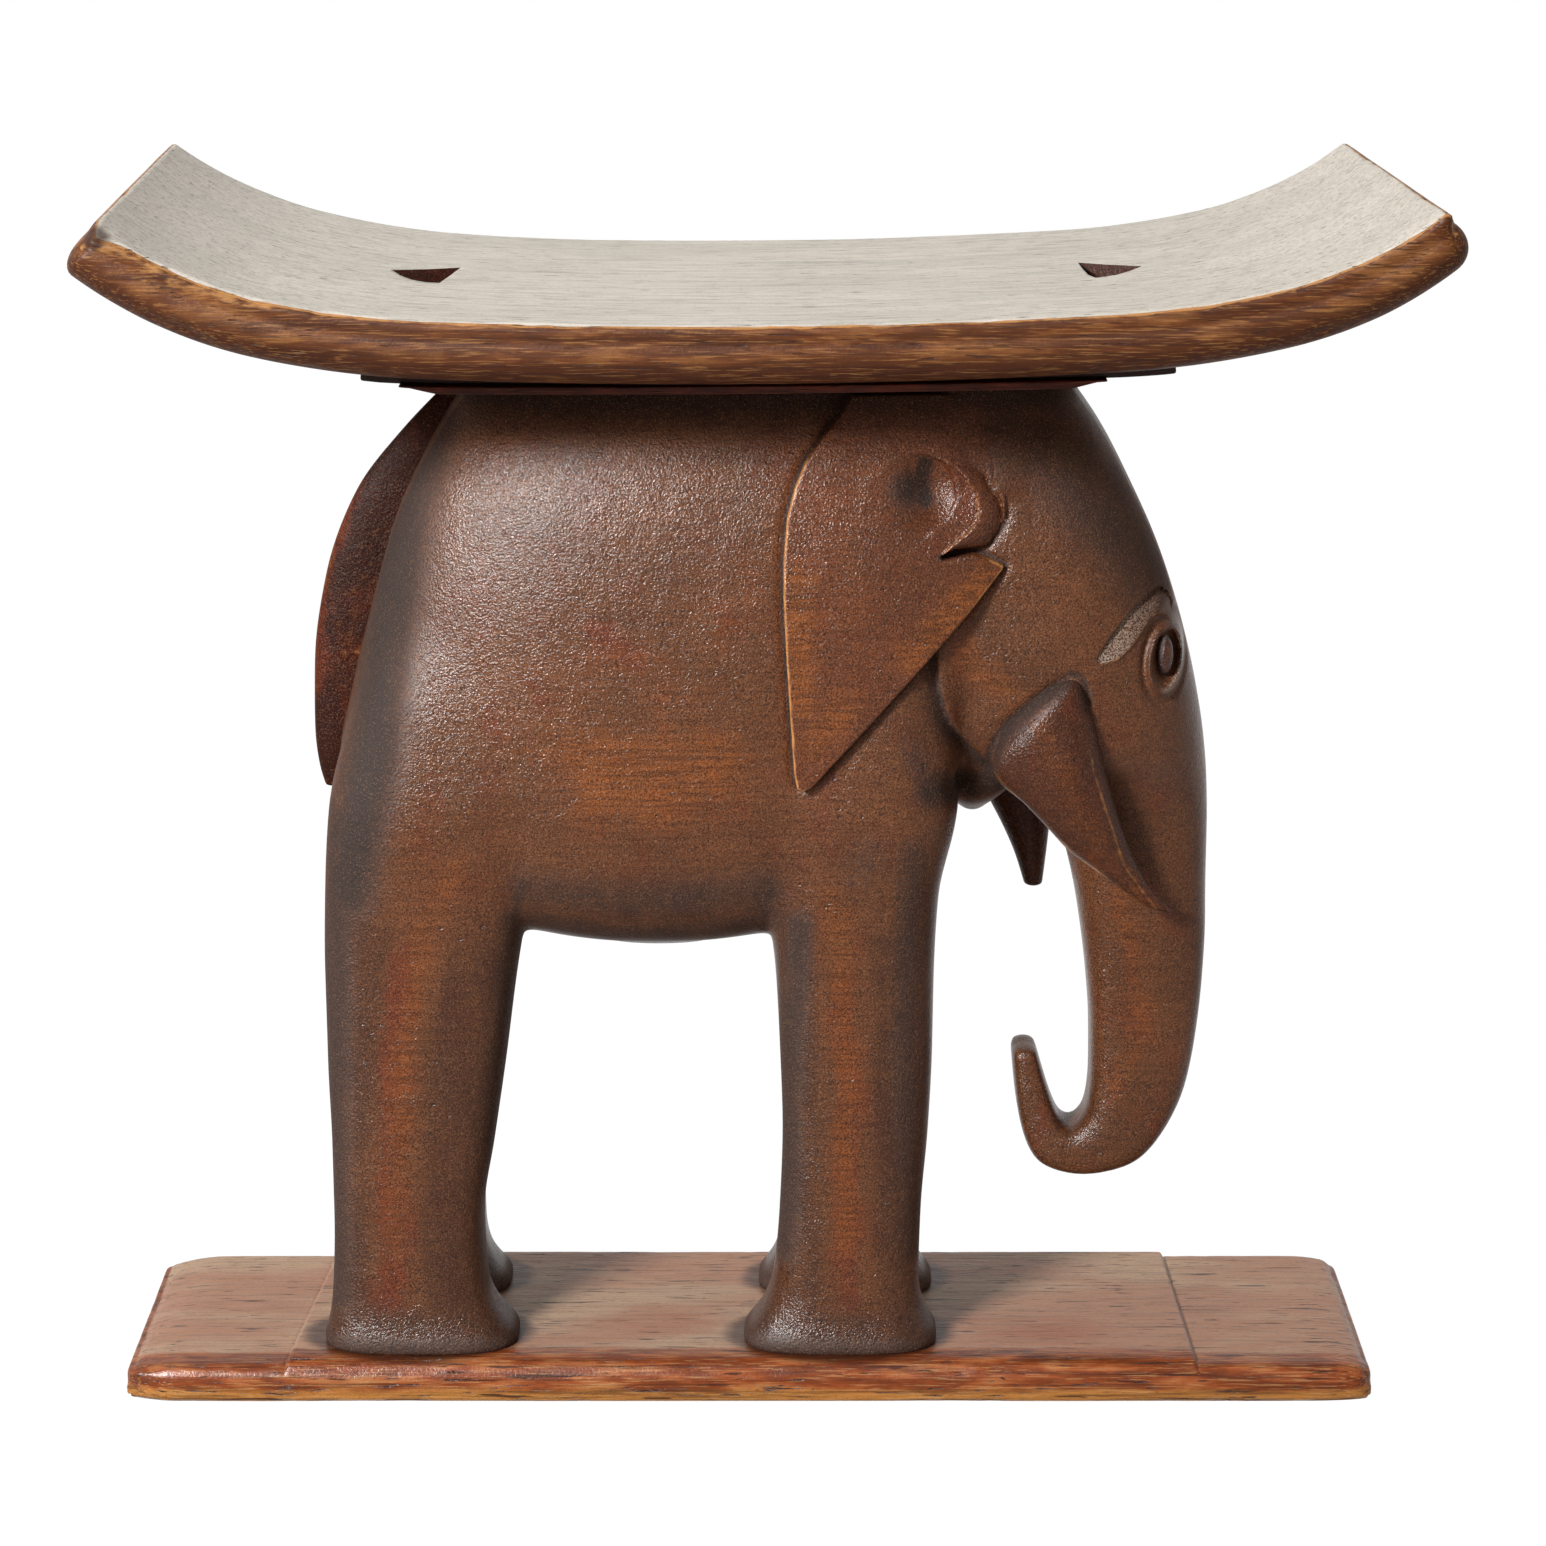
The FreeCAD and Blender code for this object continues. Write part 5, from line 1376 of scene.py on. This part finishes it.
def make_seat():
    run = sum(radius * (last - first) for _, _, radius, first, last in bend_arcs()[:2])
    tip_x, _, tip, first, _ = bend_arcs()[2]
    end_turn = math.asin((SEAT_LENGTH / 2 - tip_x) / (tip + SEAT_THICKNESS))
    half = run + tip * (end_turn - first) + SEAT_STRETCH
    top, bottom = SEAT_ROUNDS
    lines = [grid_lines(-half, half, [bottom * share for share in SEAT_END_SHARES], 2.2 * MM),
             grid_lines(-SEAT_DEPTH / 2, SEAT_DEPTH / 2, (bottom, bottom), 5 * MM),
             grid_lines(-SEAT_LOOK, 0, (bottom, top), 2.5 * MM)]
    points, sharp, out, faces = board(lines, SEAT_ROUNDS, SEAT_END_SHARES)
    points = chipped(points, sharp, out, 1.5 * MM, 26 * MM, 11)
    corner = np.array([-half, -SEAT_DEPTH / 2, 0])
    broken = bell(np.linalg.norm(points - corner, axis=1), 9)
    points[:, 0] += BROKEN_CORNER[0] * broken
    points[:, 2] -= BROKEN_CORNER[1] * broken
    places = bend_place(points)
    across = places[:, 1] + SEAT_DEPTH / 2
    places[:, 2] += SEAT_TWIST * across / SEAT_DEPTH * smooth_step(60 * MM, 250 * MM, -places[:, 0])
    places[:, 0] -= SEAT_SKEW * across
    hold_in(places[:, 0], *SEAT_HOLD_X)
    hold_in(places[:, 2], *SEAT_HOLD_Z)
    places[:, 1] *= 0.999
    piece = new_piece("seat_slab", places, faces, seat_wood, ["seat"])
    worn = 0.75 * smooth_step(-90 * MM, -230 * MM, points[:, 0])
    worn *= smooth_step(-13 * MM, -3 * MM, points[:, 2])
    mark_board(piece, points, sharp, out, 0.62, worn=worn)
    soot_middle = corner + np.array([2, 3, -3]) * MM
    mark(piece, "soot_and_shade", 1.2 * bell(np.linalg.norm(points - soot_middle, axis=1), 8))
    return piece


HOLE_PLANS = [
    [(-148.0, -3.0), (-143.6, -15.0), (-138.2, -23.2), (-132.5, -26.8), (-127.0, -26.3), (-122.0, 19.0)],
    [(152.8, -7.0), (129.0, 17.7), (129.4, 0.0), (130.4, -18.0), (132.6, -27.2), (140.6, -24.0),
     (147.2, -16.6)],
]
HOLE_HEIGHTS = (420, 500)


def cut_holes(seat):
    """Cut the two wedge-shaped hand holes."""
    for plan in HOLE_PLANS:
        count = len(plan)
        points = [(x * MM, y * MM, height * MM) for height in HOLE_HEIGHTS for x, y in plan]
        faces = [list(range(count))[::-1], list(range(count, 2 * count))]
        faces += [[n, (n + 1) % count, (n + 1) % count + count, n + count] for n in range(count)]
        mesh = bpy.data.meshes.new("hole")
        mesh.from_pydata(points, [], faces)
        mesh.materials.append(wall_skin)
        cutter = bpy.data.objects.new("hole", mesh)
        bpy.context.scene.collection.objects.link(cutter)
        cut = seat.modifiers.new("hole", "BOOLEAN")
        cut.operation = "DIFFERENCE"
        cut.solver = "EXACT"
        cut.material_mode = "TRANSFER"
        cut.object = cutter
        apply_modifiers(seat)
        bpy.data.objects.remove(cutter)


def make_layer(name, node, reach, depth, across, rounds, skin, taper=0.0, sagging_top=False):
    """Layer that follows the seat's bend: its reach along X, its depths below the top, its width."""
    low, high = reach[0] - SEAT_SHIFT, reach[1] - SEAT_SHIFT
    rim = max(rounds)
    lines = [grid_lines(low, high, (rim, rim), 3 * MM),
             grid_lines(-across / 2, across / 2, (rim, rim), 6 * MM),
             grid_lines(-depth[1], -depth[0], (rim, rim), 2 * MM)]
    points, sharp, out, faces = board(lines, rounds)
    points = chipped(points, sharp, out, 0.5 * MM, 18 * MM, 31)
    if taper:
        share = np.clip(np.minimum(points[:, 0] - low, high - points[:, 0]) / taper, 0.24, 1)
        points[:, 2] = -depth[0] + (points[:, 2] + depth[0]) * share
    sag = plate_sag(points[:, 0] + SEAT_SHIFT)
    if sagging_top:
        points[:, 2] -= sag
    else:
        points[:, 2] -= sag * np.clip(-(points[:, 2] + depth[0]) / (depth[1] - depth[0]), 0, 1)
    piece = new_piece(name, bend_place(points), faces, skin, [node])
    mark_board(piece, points, sharp, out, 0.6)


BASE_LENGTH = 520 * MM
BASE_WIDTH = 130 * MM
BASE_SHIFT = -5 * MM
BASE_THICKNESS = 15.5 * MM
BASE_STEP = 2 * MM
BASE_ROUNDS = (6.5 * MM, 2.6 * MM)
STEP_LINES = (-193.5 * MM, 180.1 * MM)
STEP_SLOPES = (0.073, -0.028)


def make_base():
    low, high = BASE_SHIFT - BASE_LENGTH / 2, BASE_SHIFT + BASE_LENGTH / 2
    close = [place + off * 0.5 * MM for place in STEP_LINES for off in range(-5, 6)]
    top, bottom = BASE_ROUNDS
    lines = [grid_lines(low, high, (top, top), 3.5 * MM, close),
             grid_lines(-BASE_WIDTH / 2, BASE_WIDTH / 2, (top, top), 3 * MM),
             grid_lines(0, BASE_THICKNESS, (bottom, top), 2.5 * MM)]
    points, sharp, out, faces = board(lines, BASE_ROUNDS)
    points = chipped(points, sharp, out, 1.6 * MM, 24 * MM, 51)
    flat = points.copy()
    x, y = points[:, 0].copy(), points[:, 1].copy()
    upper = smooth_step(0.3, 0.9, out[:, 2])
    left = smooth_step(-0.8 * MM, 0.8 * MM, x - STEP_LINES[0])
    right = smooth_step(0.8 * MM, -0.8 * MM, x - STEP_LINES[1])
    front = smooth_step(-64 * MM, -56 * MM, y)
    points[:, 2] += BASE_STEP * upper * left * right * (0.25 + 0.75 * front)
    for place in STEP_LINES:
        points[:, 2] -= 0.7 * MM * upper * bell(x - place, 0.9)
    ends = np.clip(np.maximum((low + 26 * MM - x), (x - high + 20 * MM)) / (22 * MM), 0, 1)
    points[:, 2] -= 2.6 * MM * upper * ends ** 2
    slope = np.interp(x, [low, STEP_LINES[0], STEP_LINES[1], high], [0.03, *STEP_SLOPES, -0.02])
    points[:, 0] += slope * y * smooth_step(low, low + 30 * MM, x) * smooth_step(high, high - 30 * MM, x)
    plan = 1 - 0.5 * (ends ** 2) * 8 * MM / (BASE_WIDTH / 2)
    points[:, 1] *= plan
    points[:, 0] = np.maximum(points[:, 0], low)
    points[:, 2] = np.maximum(points[:, 2], 0)
    piece = new_piece("base_board", points, faces, base_wood, ["base"])
    mark_board(piece, flat, sharp, out, 0.60, 16 * MM, (0.35, 0.95))
    # Painted shade on the base round each foot, where the foot meets the board
    soot_and_shade = np.zeros(len(points))
    for rings, side in LEG_FORMS:
        rear, front, middle, half_width = foot_plan(rings)
        off = np.hypot((x - (rear + front) / 2) / (front - rear) * 2, (y - side * middle) / half_width)
        soot_and_shade = np.maximum(soot_and_shade, smooth_step(1.35, 1.02, off))
    mark(piece, "soot_and_shade", 0.9 * soot_and_shade * upper)
    red = spot(x, y, (-40, -18), (45, 22)) + spot(x, y, (120, -30), (36, 22))
    mark(piece, "reddened", red * upper)


# Everything in its place

make_elephant()
for name, side in SIDES.items():
    make_ear(name, side)
    make_eye(name, side)
make_tusk("tusk_left", LEFT_TUSK_SHARES, SIDES["left"])
make_tusk("tusk_right", RIGHT_TUSK_SHARES, SIDES["right"])
make_tail()
seat = make_seat()
cut_holes(seat)
make_layer("under_plate", "seat_plate", (-152 * MM, 158 * MM),
           (SEAT_LOOK + GLUE_GAP, PLATE_DEPTH), 124 * MM, (0.6 * MM, 0.9 * MM), shaded_plate_wood)
make_layer("back_tier", "back_pad", (-138 * MM, 133 * MM),
           (PLATE_DEPTH + GLUE_GAP, PAD_DEPTH), 132 * MM, (0.4 * MM, 0.9 * MM), pad_wood, 14 * MM, True)
make_base()
for node in ("seat_dowels", "foot_dowels"):
    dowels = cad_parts[node]
    dowels.data.materials.clear()
    dowels.data.materials.append(dowel_wood)

# Floor, light and camera

WHITE = (1, 1, 1, 1)
FLOOR_SIZE = 60
FLOOR_GLOW = 1.1
GLOW_SHARE = 0.9
WORLD_STRENGTH = 0.24


def show_white(tree, output, shader, glow, share):
    """Mix a white glow into a shader where the camera, a reflection or a refraction looks."""
    path = add_node(tree, "LightPath", {})
    seen = path["Is Camera Ray"]
    for name in ("Is Glossy Ray", "Is Transmission Ray"):
        seen = add_node(tree, "Math", {0: seen, 1: path[name]}, operation="MAXIMUM")[0]
    amount = add_node(tree, "Math", {0: seen, 1: share}, operation="MULTIPLY")[0]
    mixed = add_node(tree, "MixShader", {0: amount, 1: shader, 2: glow})[0]
    tree.links.new(mixed, tree.nodes[output].inputs["Surface"])


def make_floor():
    material = bpy.data.materials.new("pale_floor")
    material.use_nodes = True
    tree = material.node_tree
    shader = tree.nodes["Principled BSDF"]
    shader.inputs["Base Color"].default_value = (0.5, 0.5, 0.5, 1)
    shader.inputs["Roughness"].default_value = 0.9
    shader.inputs["Specular IOR Level"].default_value = 0.1
    glow = add_node(tree, "Emission", {"Color": WHITE, "Strength": FLOOR_GLOW})[0]
    show_white(tree, "Material Output", shader.outputs[0], glow, GLOW_SHARE)
    bpy.ops.mesh.primitive_plane_add(size=FLOOR_SIZE, location=(0, 0, 0))
    floor = bpy.context.object
    floor.name = "floor"
    floor.data.materials.append(material)


def make_world():
    world = bpy.data.worlds.new("studio")
    bpy.context.scene.world = world
    world.use_nodes = True
    tree = world.node_tree
    dim = tree.nodes["Background"]
    dim.inputs["Color"].default_value = WHITE
    dim.inputs["Strength"].default_value = WORLD_STRENGTH
    white = add_node(tree, "Background", {"Color": WHITE, "Strength": 1.0})[0]
    show_white(tree, "World Output", dim.outputs[0], white, 1.0)


def make_lamp(name, place, target, size, power):
    lamp = bpy.data.lights.new(name, "AREA")
    lamp.shape = "RECTANGLE"
    lamp.size, lamp.size_y = size
    lamp.energy = power
    holder = bpy.data.objects.new(name, lamp)
    holder.location = place
    holder.rotation_euler = (Vector(target) - Vector(place)).to_track_quat("-Z", "Y").to_euler()
    bpy.context.scene.collection.objects.link(holder)
    return holder


make_floor()
make_world()
make_lamp("key", (-1.30, -1.80, 1.45), (0, 0, 0.28), (0.5, 0.5), 66)
make_lamp("gleam", (-1.36, -1.60, 1.46), (0, 0, 0.28), (0.5, 0.4), 330).visible_diffuse = False
make_lamp("top", (0, 0.2, 2.2), (0, 0, 0.4), (1.0, 0.8), 10)

CAMERA_PLACE = (0.005, -1.6066, 0.6848)
CAMERA_TILT = math.radians(75)
CAMERA_LENS = 93.14
CAMERA_SENSOR = 36

camera = bpy.data.cameras.new("camera")
camera.sensor_width = CAMERA_SENSOR
camera.lens = CAMERA_LENS
camera.clip_end = 100
holder = bpy.data.objects.new("camera", camera)
holder.location = CAMERA_PLACE
holder.rotation_euler = (CAMERA_TILT, 0, 0)
bpy.context.scene.collection.objects.link(holder)
bpy.context.scene.camera = holder
bpy.context.scene.view_settings.view_transform = "Standard"
